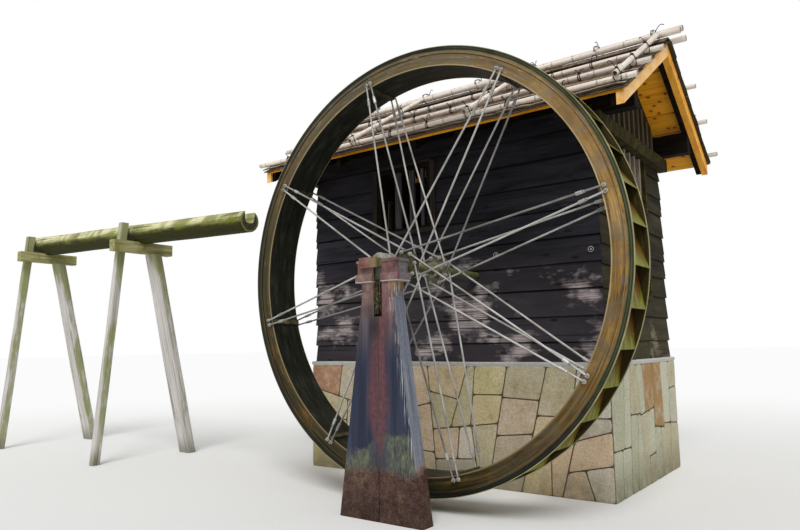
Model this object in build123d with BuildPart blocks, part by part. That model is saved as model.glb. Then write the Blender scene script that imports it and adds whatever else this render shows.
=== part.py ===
from build123d import *
from math import cos, degrees, radians, sin, tan
import os

# A watermill: a narrow steel bucket wheel on a tapered pedestal, a timber hut on a stone plinth
# whose front wall carries the inner end of the shaft, and a log flume on two trestles.
# The origin is the middle of the pedestal's foot, X runs along the hut's front wall,
# Y goes back from the pedestal to the hut and Z is up.  Sizes are in millimetres.

os.makedirs("parts", exist_ok=True)

# General fits
seat_gap = 0.3

# Wheel
wheel_radius = 1800
shroud_depth = 158
wheel_width = 331
shroud_thickness = 8
rim_band_width = 62
rim_band_thickness = 6
sole_thickness = 4
bucket_count = 40
bucket_thickness = 3
bucket_riser = 50
bucket_sweep = 10.4
bucket_lip_inset = 3
arm_count = 8
arm_angle = 13.8
tie_bar_width = 44
tie_bar_thickness = 12

# Tangential rods and hub
rod_diameter = 16
rod_lacing_angle = 83
rod_hub_radius = 112
rod_anchor_inset = 33
rod_anchor_spacing = 44
rod_stand_off = 10
rod_hub_clearance = 1.5
rod_sides = 8
lug_size = 32
hub_flange_radius = 134
hub_flange_thickness = 16
hub_boss_radius = 66
hub_boss_length = 60
hub_overhang = 64

# Shaft and its places
shaft_diameter = 76
axle_height = 1900
wheel_offset = 355
shaft_nose = 50
shaft_inside = 180
shaft_chamfer = 3
stub_diameter = 60
stub_length = 80
bearing_clearance = 0.3

# Pedestal
pedestal_depth = 130
pedestal_foot_width = 760
pedestal_neck_width = 300
neck_below_axle = 272
slot_width = 84
slot_depth_in_column = 140
seam_width = 8
seam_depth = 5

# Cheeks and bearing at the head of the pedestal
cheek_width = 148
cheek_stub_height = 122
collar_height = 63
collar_proud = 14
cheek_top_above_axle = 20
cheek_cap_height = 22
cheek_cap_proud = 8
keeper_left = -157
keeper_width = 162
keeper_height = 80
keeper_thickness = 25
keeper_rise = 20
bearing_block_height = 150
bearing_recess = 24
bearing_strap_radius = 76
bearing_foot_reach = 120
bearing_foot_height = 18

# Wall bearing
bearing_plate_size = 220
bearing_plate_thickness = 20
bearing_bush_radius = 64
bearing_bush_length = 50

# Hut
hut_left = -2035
hut_right = 1210
hut_front = 1405
hut_depth = 1900
cladding_thickness = 25
wall_thickness = 105
plinth_height = 1103
wall_height = 2101
plinth_proud = 18
plinth_thickness = 225
axle_hole = 130

# Windows
window_left = -1160
window_width = 680
window_head_drop = 114
window_height = 690
lattice_width = 900
lattice_height = 1414
frame_width = 50
frame_depth = 130

# Roof
roof_slope = 31.8
eave_run = 1395
right_verge_overhang = 390
left_verge_overhang = 320
deck_thickness = 22
rafter_depth = 90
rafter_width = 50
rafter_count = 9
rafter_setback = 24
bargeboard_thickness = 60
bargeboard_width = 85
bark_thickness = 45
bark_overhang = 30
ridge_cover_thickness = 20
ridge_cover_width = 230
ridge_beam_width = 105
ridge_beam_depth = 150
plate_height = 155
tie_beam_width = 90
tie_beam_height = 125
tie_beam_overhang = 95

# Bamboo on the roof
bamboo_radius = 24
bamboo_sides = 12
rail_count = 3
rail_pitch = 485
rail_eave_inset = 50
rail_overhang = 110
down_pole_places = (-1080, 240, 1565)
down_pole_start = 120
down_pole_overhang = 75
ridge_pole_radius = 30
ridge_pole_overhang = 150
ridge_side_pole_distance = 62

# Flume and trestles
flume_end = -2125
flume_height = 2560
flume_rise = 2.2
flume_length = 4495
flume_tip_radius = 116
flume_butt_radius = 136
log_sides = 24
channel_width = 130
channel_floor_drop = 20
channel_corner = 32
trestle_inset = 290
trestle_spacing = 2290
trestle_count = 2
beam_thickness = 110
beam_height = 130
beam_length = 760
beam_near_reach = 380
near_leg_width = 102
near_leg_thickness = 85
near_leg_lean = 5.2
near_leg_rise = 358
far_leg_width = 110
far_leg_thickness = 210
far_leg_lean = 12.9
far_leg_inset = 170
notch_depth = 20
leg_clearance = 10

# Places that follow from the sizes above
shroud_inner_radius = wheel_radius - shroud_depth
sole_radius = shroud_inner_radius + sole_thickness
wheel_middle = wheel_offset + wheel_width / 2
half_wheel = wheel_width / 2
shaft_radius = shaft_diameter / 2
rod_radius = rod_diameter / 2
hub_plane = half_wheel + hub_overhang
neck_height = axle_height - neck_below_axle
cheek_top = axle_height + cheek_top_above_axle
hut_back = hut_front + hut_depth
core_left = hut_left + cladding_thickness
core_right = hut_right - cladding_thickness
core_front = hut_front + cladding_thickness
core_back = hut_back - cladding_thickness
ridge_y = (hut_front + hut_back) / 2
roof_left = hut_left - left_verge_overhang
roof_right = hut_right + right_verge_overhang
roof_mid_plane = Plane.YZ.offset((roof_left + roof_right) / 2)
slope = radians(roof_slope)
inner_front = core_front + wall_thickness
inner_back = core_back - wall_thickness
wall_top = plinth_height + wall_height
window_sill = wall_top - window_head_drop - window_height
tie_beam_base = wall_top - seat_gap - tie_beam_height
lattice_sill = tie_beam_base - lattice_height
under_rafters = -(deck_thickness + rafter_depth)
rafter_rise = (ridge_y - core_front) * tan(slope)
ridge_height = wall_top + plate_height + rafter_rise - under_rafters / cos(slope)
wheel_axis = Plane(origin=(0, wheel_middle, axle_height), x_dir=(1, 0, 0), z_dir=(0, -1, 0))
wheel_section = Plane(origin=(0, wheel_middle, axle_height), x_dir=(1, 0, 0), z_dir=(0, 0, 1))
axle_line = Axis((0, wheel_middle, axle_height), (0, 1, 0))
wheel_mid_plane = Plane.XZ.offset(-wheel_middle)
ridge_plane = Plane.XZ.offset(-ridge_y)


def upright(y):
    """A vertical plane across Y, drawn in X and Z, with its normal towards the viewer at -Y."""
    return Plane.XZ.offset(-y)


def polar(radius, angle):
    """A point of the wheel's own plane."""
    return (radius * cos(radians(angle)), radius * sin(radians(angle)))


def on_slope(down, normal):
    """Y and Z of a point of the front slope: down the slope and out of the deck's top."""
    y = ridge_y - down * cos(slope) - normal * sin(slope)
    z = ridge_height - down * sin(slope) + normal * cos(slope)
    return (y, z)


def slope_height(run, normal):
    """Height of the layer boundary that lies normal above the deck's top, run from the ridge."""
    return ridge_height - run * tan(slope) + normal / cos(slope)


def slope_outline(near_run, far_run, lower, upper):
    """Corners of a layer of the front slope with plumb-cut ends."""
    return [
        (ridge_y - near_run, slope_height(near_run, lower)),
        (ridge_y - near_run, slope_height(near_run, upper)),
        (ridge_y - far_run, slope_height(far_run, upper)),
        (ridge_y - far_run, slope_height(far_run, lower)),
    ]


def finish(builder, name):
    """Labels a piece and writes its file."""
    builder.part.label = name
    export_step(builder.part, f"parts/{name}.step")


# Wheel: shrouds with a raised band along the rim, and the sole between them
with BuildPart() as front_shroud:
    with BuildSketch(wheel_section):
        with Locations((wheel_radius, -half_wheel)):
            Rectangle(shroud_depth, shroud_thickness, align=(Align.MAX, Align.MIN))
        with Locations((wheel_radius, shroud_thickness - half_wheel)):
            band_with_shroud = rim_band_thickness + shroud_thickness
            Rectangle(rim_band_width, band_with_shroud, align=(Align.MAX, Align.MAX))
    revolve(axis=axle_line)
finish(front_shroud, "front_shroud")

with BuildPart() as rear_shroud:
    mirror(front_shroud.part, about=wheel_mid_plane)
finish(rear_shroud, "rear_shroud")

inside_width = wheel_width - 2 * shroud_thickness
with BuildPart(wheel_axis) as sole_plate:
    Cylinder(sole_radius, inside_width)
    Cylinder(shroud_inner_radius, inside_width, mode=Mode.SUBTRACT)
finish(sole_plate, "sole_plate")

# Wheel: elbow buckets, each a riser on the sole and a slanted plate out to its lip
with BuildPart() as one_bucket:
    with BuildSketch(Plane.XY.offset(-inside_width / 2)):
        with BuildLine():
            Polyline(
                polar(sole_radius + seat_gap, bucket_sweep),
                polar(sole_radius + bucket_riser, bucket_sweep),
                polar(wheel_radius - bucket_lip_inset, 0),
            )
            offset(amount=bucket_thickness, side=Side.LEFT, kind=Kind.INTERSECTION)
        make_face()
    extrude(amount=inside_width)

with BuildPart(wheel_axis) as buckets:
    with PolarLocations(0, bucket_count, start_angle=arm_angle):
        add(one_bucket.part)
finish(buckets, "buckets")

with BuildPart(wheel_axis) as rim_tie_bars:
    tie_bar_radius = shroud_inner_radius - seat_gap - tie_bar_thickness / 2
    with PolarLocations(tie_bar_radius, arm_count, start_angle=arm_angle):
        Box(tie_bar_thickness, tie_bar_width, wheel_width)
finish(rim_tie_bars, "rim_tie_bars")

# Wheel: shaft with a turned-down stub for a coupling inside the hut, and hub flanges
shaft_end = inner_front + shaft_inside
shoulder = shaft_end - stub_length
with BuildPart(upright(-shaft_nose)) as wheel_shaft:
    with Locations((0, axle_height, 0)):
        Cylinder(shaft_radius, shoulder + shaft_nose, align=(Align.CENTER, Align.CENTER, Align.MAX))
        Cylinder(
            stub_diameter / 2,
            shaft_end + shaft_nose,
            align=(Align.CENTER, Align.CENTER, Align.MAX),
        )
    end_rims = wheel_shaft.edges().filter_by(GeomType.CIRCLE).group_by(Axis.Y)
    chamfer([*end_rims[0], *end_rims[-1]], length=shaft_chamfer)
finish(wheel_shaft, "wheel_shaft")

with BuildPart() as front_hub:
    hub_bore = shaft_radius + seat_gap
    with BuildSketch(wheel_section):
        with Locations((hub_bore, -(hub_plane + hub_flange_thickness / 2))):
            flange_and_boss = hub_flange_thickness + hub_boss_length
            Rectangle(hub_flange_radius - hub_bore, hub_flange_thickness, align=(Align.MIN, Align.MIN))
            Rectangle(hub_boss_radius - hub_bore, flange_and_boss, align=(Align.MIN, Align.MIN))
    revolve(axis=axle_line)
finish(front_hub, "front_hub")

with BuildPart() as rear_hub:
    mirror(front_hub.part, about=wheel_mid_plane)
finish(rear_hub, "rear_hub")

# Wheel: each arm is two crossed tangential rods with a lug at either end
rod_anchor_radius = shroud_inner_radius + rod_anchor_inset
hub_stand_off = hub_flange_thickness / 2 + rod_stand_off + rod_hub_clearance
ring_level = half_wheel + rod_stand_off
anchor_angle = degrees(rod_anchor_spacing / 2 / rod_anchor_radius)
with BuildPart() as front_arm:
    for side in (1, -1):
        hub_level = hub_plane + side * hub_stand_off
        inner = Vector(*polar(rod_hub_radius, arm_angle + side * rod_lacing_angle), hub_level)
        outer = Vector(*polar(rod_anchor_radius, arm_angle + side * anchor_angle), ring_level)
        with BuildSketch(Plane(origin=inner, z_dir=outer - inner)):
            RegularPolygon(rod_radius, rod_sides)
        extrude(amount=(outer - inner).length)
        hub_face = hub_plane + side * (hub_flange_thickness / 2 + seat_gap)
        lug_height = hub_stand_off + rod_radius - hub_flange_thickness / 2
        with BuildSketch(Plane((inner.X, inner.Y, hub_face), x_dir=outer - inner, z_dir=(0, 0, side))):
            Rectangle(lug_size, lug_size)
        extrude(amount=lug_height)
        with BuildSketch(Plane((outer.X, outer.Y, half_wheel + seat_gap), x_dir=outer - inner)):
            Rectangle(lug_size, lug_size)
        extrude(amount=rod_stand_off + rod_radius)

with BuildPart(wheel_axis) as front_spokes:
    with PolarLocations(0, arm_count):
        add(front_arm.part)
finish(front_spokes, "front_spokes")

with BuildPart() as rear_spokes:
    mirror(front_spokes.part, about=wheel_mid_plane)
finish(rear_spokes, "rear_spokes")

# Pedestal: a tapered box column with a slot at its head and a welded seam down its front
with BuildPart() as pedestal_column:
    with BuildSketch(upright(-pedestal_depth / 2)):
        with BuildLine():
            Polyline(
                (-pedestal_foot_width / 2, 0),
                (pedestal_foot_width / 2, 0),
                (pedestal_neck_width / 2, neck_height),
                (-pedestal_neck_width / 2, neck_height),
                close=True,
            )
        make_face()
    extrude(amount=-pedestal_depth)
    slot_middle = neck_height - slot_depth_in_column / 2
    with Locations((0, 0, slot_middle)):
        Box(slot_width, pedestal_depth, slot_depth_in_column, mode=Mode.SUBTRACT)
    seam_height = neck_height - slot_depth_in_column
    with Locations((0, -pedestal_depth / 2, seam_height / 2)):
        Box(seam_width, 2 * seam_depth, seam_height, mode=Mode.SUBTRACT)
finish(pedestal_column, "pedestal_column")

# Cheeks: one each side of the slot, with a collar band low down and a cap plate on top. A keeper plate
# on the left one reaches over the end of the shaft
with BuildPart() as bearing_cheeks:
    stub_width = (pedestal_neck_width - slot_width) / 2
    collar_base = neck_height + cheek_stub_height
    cap_base = cheek_top - cheek_cap_height
    with Locations((slot_width / 2, 0, neck_height)):
        Box(stub_width, pedestal_depth, cheek_stub_height, align=(Align.MIN, Align.CENTER, Align.MIN))
    with Locations((slot_width / 2, 0, collar_base)):
        Box(
            cheek_width,
            pedestal_depth,
            cheek_top - collar_base,
            align=(Align.MIN, Align.CENTER, Align.MIN),
        )
        Box(
            cheek_width + collar_proud,
            pedestal_depth + 2 * collar_proud,
            collar_height,
            align=(Align.MIN, Align.CENTER, Align.MIN),
        )
    with Locations((slot_width / 2, 0, cap_base)):
        Box(
            cheek_width + cheek_cap_proud,
            pedestal_depth + 2 * cheek_cap_proud,
            cheek_cap_height,
            align=(Align.MIN, Align.CENTER, Align.MIN),
        )
    mirror(about=Plane.YZ)
    with Locations((keeper_left, -pedestal_depth / 2, cheek_top + keeper_rise)):
        Box(
            keeper_width,
            keeper_thickness,
            keeper_height,
            align=(Align.MIN, Align.MAX, Align.MAX),
        )
finish(bearing_cheeks, "bearing_cheeks")

# Front bearing: a block hung in the slot by feet on the cheeks, with an arched strap over the shaft
with BuildPart() as front_bearing:
    bearing_front = -pedestal_depth / 2 + bearing_recess
    block_half_width = slot_width / 2 - seat_gap
    block_base = cheek_top - bearing_block_height
    with BuildSketch(upright(bearing_front)):
        with Locations((0, block_base)):
            Rectangle(2 * block_half_width, bearing_block_height, align=(Align.CENTER, Align.MIN))
        with Locations((0, cheek_top)):
            Rectangle(2 * bearing_foot_reach, bearing_foot_height, align=(Align.CENTER, Align.MIN))
        with Locations((0, axle_height)):
            Circle(bearing_strap_radius)
        for side in (-1, 1):
            with Locations((side * block_half_width, cheek_top)):
                Rectangle(
                    bearing_strap_radius,
                    bearing_block_height,
                    align=(Align.MAX if side < 0 else Align.MIN, Align.MAX),
                    mode=Mode.SUBTRACT,
                )
        with Locations((0, axle_height)):
            Circle(shaft_radius + bearing_clearance, mode=Mode.SUBTRACT)
    extrude(amount=-(pedestal_depth - bearing_recess))
finish(front_bearing, "front_bearing")

# Wall bearing: a flanged bush on the inside of the front wall, over the axle hole
with BuildPart() as wall_bearing:
    with BuildSketch(upright(inner_front)):
        with Locations((0, axle_height)):
            Rectangle(bearing_plate_size, bearing_plate_size)
    extrude(amount=-bearing_plate_thickness)
    with BuildSketch(upright(inner_front)):
        with Locations((0, axle_height)):
            Circle(bearing_bush_radius)
    extrude(amount=-(bearing_plate_thickness + bearing_bush_length))
    with BuildSketch(upright(inner_front)):
        with Locations((0, axle_height)):
            Circle(shaft_radius + bearing_clearance)
    extrude(amount=-(bearing_plate_thickness + bearing_bush_length), mode=Mode.SUBTRACT)
finish(wall_bearing, "wall_bearing")

# Plinth: four stone walls under the hut
plinth_left = hut_left - plinth_proud
plinth_right = hut_right + plinth_proud
plinth_front_face = hut_front - plinth_proud
plinth_back_face = hut_back + plinth_proud
with BuildPart() as plinth_front:
    with Locations((plinth_left, plinth_front_face, 0)):
        Box(
            plinth_right - plinth_left,
            plinth_thickness,
            plinth_height,
            align=(Align.MIN, Align.MIN, Align.MIN),
        )
finish(plinth_front, "plinth_front")

with BuildPart() as plinth_back:
    mirror(plinth_front.part, about=ridge_plane)
finish(plinth_back, "plinth_back")

with BuildPart() as plinth_right_side:
    with Locations((plinth_right, ridge_y, 0)):
        Box(
            plinth_thickness,
            plinth_back_face - plinth_front_face - 2 * plinth_thickness,
            plinth_height,
            align=(Align.MAX, Align.CENTER, Align.MIN),
        )
finish(plinth_right_side, "plinth_right")

hut_middle = (hut_left + hut_right) / 2
hut_mid_plane = Plane.YZ.offset(hut_middle)
with BuildPart() as plinth_left_side:
    mirror(plinth_right_side.part, about=hut_mid_plane)
finish(plinth_left_side, "plinth_left")

# Walls
with BuildPart() as back_wall:
    with BuildSketch(upright(inner_back)):
        with Locations(((core_left + core_right) / 2, (plinth_height + wall_top) / 2)):
            Rectangle(core_right - core_left, wall_top - plinth_height)
        with Locations((window_left, window_sill)):
            Rectangle(
                window_width,
                window_height,
                align=(Align.MIN, Align.MIN),
                mode=Mode.SUBTRACT,
            )
    extrude(amount=-wall_thickness)
finish(back_wall, "back_wall")

with BuildPart() as front_wall:
    mirror(back_wall.part, about=ridge_plane)
    with Locations((0, core_front + wall_thickness / 2, axle_height)):
        Box(axle_hole, wall_thickness, axle_hole, mode=Mode.SUBTRACT)
finish(front_wall, "front_wall")

with BuildPart() as right_gable_wall:
    with BuildSketch(Plane.YZ.offset(core_right - wall_thickness)):
        with BuildLine():
            Polyline(
                (inner_front, plinth_height),
                (inner_front, slope_height(ridge_y - inner_front, -deck_thickness)),
                (ridge_y, slope_height(0, -deck_thickness)),
                (inner_back, slope_height(inner_back - ridge_y, -deck_thickness)),
                (inner_back, plinth_height),
                close=True,
            )
        make_face()
        with Locations((ridge_y, lattice_sill)):
            Rectangle(
                lattice_width,
                lattice_height,
                align=(Align.CENTER, Align.MIN),
                mode=Mode.SUBTRACT,
            )
        with Locations((ridge_y, slope_height(0, -deck_thickness))):
            Rectangle(
                ridge_beam_width,
                ridge_beam_depth,
                align=(Align.CENTER, Align.MAX),
                mode=Mode.SUBTRACT,
            )
    extrude(amount=wall_thickness)
finish(right_gable_wall, "right_gable_wall")

with BuildPart() as left_gable_wall:
    mirror(right_gable_wall.part, about=hut_mid_plane)
finish(left_gable_wall, "left_gable_wall")

# Window frames line the openings and stand a little proud outside. The lattice windows reach up to the
# tie beams, so their frames have no head
with BuildPart() as window_frames:
    with BuildSketch(upright(core_front + wall_thickness)):
        with Locations((window_left + seat_gap, window_sill + seat_gap)):
            Rectangle(
                window_width - 2 * seat_gap,
                window_height - 2 * seat_gap,
                align=(Align.MIN, Align.MIN),
            )
        with Locations((window_left + frame_width, window_sill + frame_width)):
            Rectangle(
                window_width - 2 * frame_width,
                window_height - 2 * frame_width,
                align=(Align.MIN, Align.MIN),
                mode=Mode.SUBTRACT,
            )
    extrude(amount=frame_depth)
    mirror(about=ridge_plane)
finish(window_frames, "window_frames")

with BuildPart() as lattice_frames:
    with BuildSketch(Plane.YZ.offset(core_right - wall_thickness)):
        with Locations((ridge_y, lattice_sill + seat_gap)):
            Rectangle(
                lattice_width - 2 * seat_gap,
                lattice_height - 2 * seat_gap,
                align=(Align.CENTER, Align.MIN),
            )
        with Locations((ridge_y, lattice_sill + frame_width)):
            Rectangle(
                lattice_width - 2 * frame_width,
                lattice_height,
                align=(Align.CENTER, Align.MIN),
                mode=Mode.SUBTRACT,
            )
    extrude(amount=frame_depth)
    mirror(about=hut_mid_plane)
finish(lattice_frames, "lattice_frames")

# Roof timbers: wall plates, ridge beam, tie beams and rafters
inside_left = roof_left + bargeboard_thickness
inside_right = roof_right - bargeboard_thickness
with BuildPart() as wall_plates:
    plate_inner_run = ridge_y - inner_front
    plate_outer_run = ridge_y - core_front
    with BuildSketch(Plane.YZ.offset(inside_left)):
        with BuildLine():
            Polyline(
                (inner_front, wall_top),
                (inner_front, slope_height(plate_inner_run, under_rafters) - seat_gap),
                (core_front, slope_height(plate_outer_run, under_rafters) - seat_gap),
                (core_front, wall_top),
                close=True,
            )
        make_face()
    extrude(amount=inside_right - inside_left)
    mirror(about=ridge_plane)
finish(wall_plates, "wall_plates")

with BuildPart() as ridge_beam:
    beam_half = ridge_beam_width / 2 - seat_gap
    beam_base = slope_height(0, -deck_thickness) - ridge_beam_depth
    with BuildSketch(Plane.YZ.offset(inside_left)):
        with BuildLine():
            Polyline(
                (ridge_y - beam_half, beam_base),
                (ridge_y - beam_half, slope_height(beam_half, -deck_thickness)),
                (ridge_y, slope_height(0, -deck_thickness)),
                (ridge_y + beam_half, slope_height(beam_half, -deck_thickness)),
                (ridge_y + beam_half, beam_base),
                close=True,
            )
        make_face()
    extrude(amount=inside_right - inside_left)
finish(ridge_beam, "ridge_beam")

with BuildPart() as tie_beams:
    tie_beam_length = core_back - core_front + 2 * tie_beam_overhang
    with Locations((core_right, ridge_y, wall_top - seat_gap)):
        Box(
            tie_beam_width,
            tie_beam_length,
            tie_beam_height,
            align=(Align.MIN, Align.CENTER, Align.MAX),
        )
    mirror(about=hut_mid_plane)
finish(tie_beams, "tie_beams")

with BuildPart() as rafters:
    rafter_span = inside_right - inside_left - rafter_width
    for index in range(rafter_count):
        rafter_x = inside_left + rafter_span * index / (rafter_count - 1)
        with BuildSketch(Plane.YZ.offset(rafter_x)):
            with BuildLine():
                Polyline(
                    *slope_outline(
                        ridge_beam_width / 2, eave_run - rafter_setback, under_rafters, -deck_thickness
                    ),
                    close=True,
                )
            make_face()
        extrude(amount=rafter_width)
    for gable in (right_gable_wall, left_gable_wall):
        add(gable.part, mode=Mode.SUBTRACT)
    mirror(about=ridge_plane)
finish(rafters, "rafters")

# Roof: deck, bark and bargeboards
with BuildPart() as front_roof_deck:
    with BuildSketch(Plane.YZ.offset(roof_left)):
        with BuildLine():
            Polyline(*slope_outline(0, eave_run, -deck_thickness, 0), close=True)
        make_face()
    extrude(amount=roof_right - roof_left)
finish(front_roof_deck, "front_roof_deck")

with BuildPart() as back_roof_deck:
    mirror(front_roof_deck.part, about=ridge_plane)
finish(back_roof_deck, "back_roof_deck")

with BuildPart() as front_roof_bark:
    with BuildSketch(Plane.YZ.offset(roof_left - bark_overhang)):
        with BuildLine():
            Polyline(*slope_outline(0, eave_run + bark_overhang, 0, bark_thickness), close=True)
        make_face()
    extrude(amount=roof_right - roof_left + 2 * bark_overhang)
finish(front_roof_bark, "front_roof_bark")

with BuildPart() as back_roof_bark:
    mirror(front_roof_bark.part, about=ridge_plane)
finish(back_roof_bark, "back_roof_bark")

with BuildPart() as ridge_cover:
    cover_run = ridge_cover_width * cos(slope)
    cover_top = bark_thickness + ridge_cover_thickness
    with BuildSketch(Plane.YZ.offset(roof_left - bark_overhang)):
        with BuildLine():
            Polyline(
                (ridge_y, slope_height(0, bark_thickness)),
                (ridge_y - cover_run, slope_height(cover_run, bark_thickness)),
                (ridge_y - cover_run, slope_height(cover_run, cover_top)),
                (ridge_y, slope_height(0, cover_top)),
                (ridge_y + cover_run, slope_height(cover_run, cover_top)),
                (ridge_y + cover_run, slope_height(cover_run, bark_thickness)),
                close=True,
            )
        make_face()
    extrude(amount=roof_right - roof_left + 2 * bark_overhang)
finish(ridge_cover, "ridge_cover")

board_lower_face = -(deck_thickness + bargeboard_width)
with BuildPart() as front_bargeboards:
    with BuildSketch(Plane.YZ.offset(inside_right)):
        with BuildLine():
            Polyline(*slope_outline(0, eave_run, board_lower_face, -deck_thickness), close=True)
        make_face()
    extrude(amount=bargeboard_thickness)
    mirror(about=roof_mid_plane)
finish(front_bargeboards, "front_bargeboards")

with BuildPart() as back_bargeboards:
    mirror(front_bargeboards.part, about=ridge_plane)
finish(back_bargeboards, "back_bargeboards")

# Bamboo: rails along each slope, poles down it and poles along the ridge
rail_normal = bark_thickness + bamboo_radius + seat_gap
slope_length = eave_run / cos(slope)
lowest_rail = slope_length - rail_eave_inset
with BuildPart() as bamboo_rails:
    for index in range(rail_count):
        rail_y, rail_z = on_slope(lowest_rail - index * rail_pitch, rail_normal)
        with BuildSketch(Plane(origin=(roof_left - rail_overhang, rail_y, rail_z), z_dir=(1, 0, 0))):
            RegularPolygon(bamboo_radius, bamboo_sides)
        extrude(amount=roof_right - roof_left + 2 * rail_overhang)
    mirror(about=ridge_plane)
finish(bamboo_rails, "bamboo_rails")

with BuildPart() as down_poles:
    pole_normal = rail_normal + 2 * bamboo_radius + seat_gap
    pole_top = on_slope(down_pole_start, pole_normal)
    pole_direction = (0, -cos(slope), -sin(slope))
    for pole_x in down_pole_places:
        with BuildSketch(Plane(origin=(pole_x, *pole_top), z_dir=pole_direction)):
            RegularPolygon(bamboo_radius, bamboo_sides)
        extrude(amount=lowest_rail + down_pole_overhang - down_pole_start)
    mirror(about=ridge_plane)
finish(down_poles, "down_poles")

with BuildPart() as ridge_poles:
    ridge_pole_length = roof_right - roof_left + 2 * ridge_pole_overhang
    side_y, side_z = on_slope(ridge_side_pole_distance, cover_top + ridge_pole_radius + seat_gap)
    crown_z = slope_height(0, cover_top) + ridge_pole_radius + seat_gap
    ridge_spots = [(ridge_y, crown_z), (side_y, side_z), (2 * ridge_y - side_y, side_z)]
    for spot_y, spot_z in ridge_spots:
        with BuildSketch(Plane(origin=(roof_left - ridge_pole_overhang, spot_y, spot_z), z_dir=(1, 0, 0))):
            RegularPolygon(ridge_pole_radius, bamboo_sides)
        extrude(amount=ridge_pole_length)
finish(ridge_poles, "ridge_poles")

# Flume: a tapered log with a channel along its top
flume_direction = Vector(-cos(radians(flume_rise)), 0, sin(radians(flume_rise)))
flume_plane = Plane(
    origin=(flume_end, wheel_middle, flume_height),
    x_dir=(0, 1, 0),
    z_dir=flume_direction,
)
flume_butt_plane = flume_plane.offset(flume_length)
with BuildPart() as flume_log:
    for end_plane, end_radius in ((flume_plane, flume_tip_radius), (flume_butt_plane, flume_butt_radius)):
        with BuildSketch(end_plane):
            RegularPolygon(end_radius, log_sides)
    loft(ruled=True)
    channel_up = 1 if flume_plane.y_dir.Z > 0 else -1
    with BuildSketch(flume_plane) as channel:
        with Locations((0, channel_up * (flume_butt_radius - channel_floor_drop))):
            Rectangle(channel_width, 2 * flume_butt_radius)
        floor_edge = channel.edges().sort_by(Axis.Z)[0]
        chamfer(floor_edge.vertices(), length=channel_corner)
    extrude(amount=flume_length, mode=Mode.SUBTRACT)
finish(flume_log, "flume_log")

# The room that the log takes in its trestles, a fit larger than the log
with BuildPart() as log_room:
    for end_plane, end_radius in ((flume_plane, flume_tip_radius), (flume_butt_plane, flume_butt_radius)):
        with BuildSketch(end_plane):
            RegularPolygon(end_radius + seat_gap, log_sides)
    loft(ruled=True)


def flume_axis_height(x):
    """Height of the log's axis over a place along X."""
    return flume_height + (flume_end - x) * tan(radians(flume_rise))


def flume_radius(x):
    """Radius of the log over a place along X."""
    share = (flume_end - x) / flume_length
    return flume_tip_radius + share * (flume_butt_radius - flume_tip_radius)


# Trestles: a notched cross-beam, a near leg beside the log and a splayed far leg
far_trestle = flume_end - flume_length + trestle_inset
trestle_places = [far_trestle + index * trestle_spacing for index in range(trestle_count)]
with BuildPart() as trestle_beams:
    for place in trestle_places:
        beam_base_height = flume_axis_height(place) - flume_radius(place) + notch_depth - beam_height
        with Locations((place, wheel_middle - beam_near_reach, beam_base_height)):
            Box(beam_thickness, beam_length, beam_height, align=(Align.CENTER, Align.MIN, Align.MIN))
    add(log_room.part, mode=Mode.SUBTRACT)
finish(trestle_beams, "trestle_beams")

with BuildPart() as trestle_legs:
    for place in trestle_places:
        beam_base_height = flume_axis_height(place) - flume_radius(place) + notch_depth - beam_height
        near_lean = tan(radians(near_leg_lean))
        far_lean = tan(radians(far_leg_lean))
        near_top = beam_base_height + near_leg_rise
        near_y = wheel_middle - flume_radius(place) - near_leg_width - leg_clearance
        near_foot = near_y - near_top * near_lean
        far_y = wheel_middle - beam_near_reach + beam_length - far_leg_width - far_leg_inset
        far_foot = far_y + beam_base_height * far_lean
        with BuildSketch(Plane.YZ.offset(place - beam_thickness / 2 - near_leg_thickness)):
            with BuildLine():
                Polyline(
                    (near_foot, 0),
                    (near_foot + near_leg_width, 0),
                    (near_y + near_leg_width, near_top),
                    (near_y, near_top),
                    close=True,
                )
            make_face()
        extrude(amount=near_leg_thickness)
        with BuildSketch(Plane.YZ.offset(place - far_leg_thickness / 2)):
            with BuildLine():
                Polyline(
                    (far_foot, 0),
                    (far_foot + far_leg_width, 0),
                    (far_y + far_leg_width, beam_base_height - seat_gap),
                    (far_y, beam_base_height - seat_gap),
                    close=True,
                )
            make_face()
        extrude(amount=far_leg_thickness)
finish(trestle_legs, "trestle_legs")
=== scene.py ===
import random
from math import asin, cos, pi, radians, sin, tan

import bmesh
import bpy
from mathutils import Matrix, Vector, noise


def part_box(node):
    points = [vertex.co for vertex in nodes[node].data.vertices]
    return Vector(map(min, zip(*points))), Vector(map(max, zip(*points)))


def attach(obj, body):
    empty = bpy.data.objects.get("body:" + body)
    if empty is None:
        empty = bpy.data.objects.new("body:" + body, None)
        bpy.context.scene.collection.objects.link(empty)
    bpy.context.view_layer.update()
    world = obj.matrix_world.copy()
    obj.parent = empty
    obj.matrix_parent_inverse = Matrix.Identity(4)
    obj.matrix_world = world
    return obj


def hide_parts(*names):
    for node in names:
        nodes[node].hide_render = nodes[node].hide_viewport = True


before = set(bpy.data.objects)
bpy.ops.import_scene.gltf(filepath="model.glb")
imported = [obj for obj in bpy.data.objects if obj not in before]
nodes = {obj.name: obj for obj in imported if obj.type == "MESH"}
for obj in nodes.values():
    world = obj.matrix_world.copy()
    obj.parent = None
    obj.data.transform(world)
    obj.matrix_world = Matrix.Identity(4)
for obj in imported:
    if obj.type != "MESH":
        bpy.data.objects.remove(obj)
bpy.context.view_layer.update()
random.seed(11)

# Places read from the frame, in metres
wall_low, wall_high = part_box("front_wall")
plinth_low, plinth_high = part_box("plinth_front")
deck_low, deck_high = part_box("front_roof_deck")
tie_low, tie_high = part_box("tie_beams")
shroud_low, shroud_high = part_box("front_shroud")
cheeks_low, cheeks_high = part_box("bearing_cheeks")
window_low, window_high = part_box("window_frames")
lattice_low, lattice_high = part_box("lattice_frames")
flume_low, flume_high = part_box("flume_log")

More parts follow.
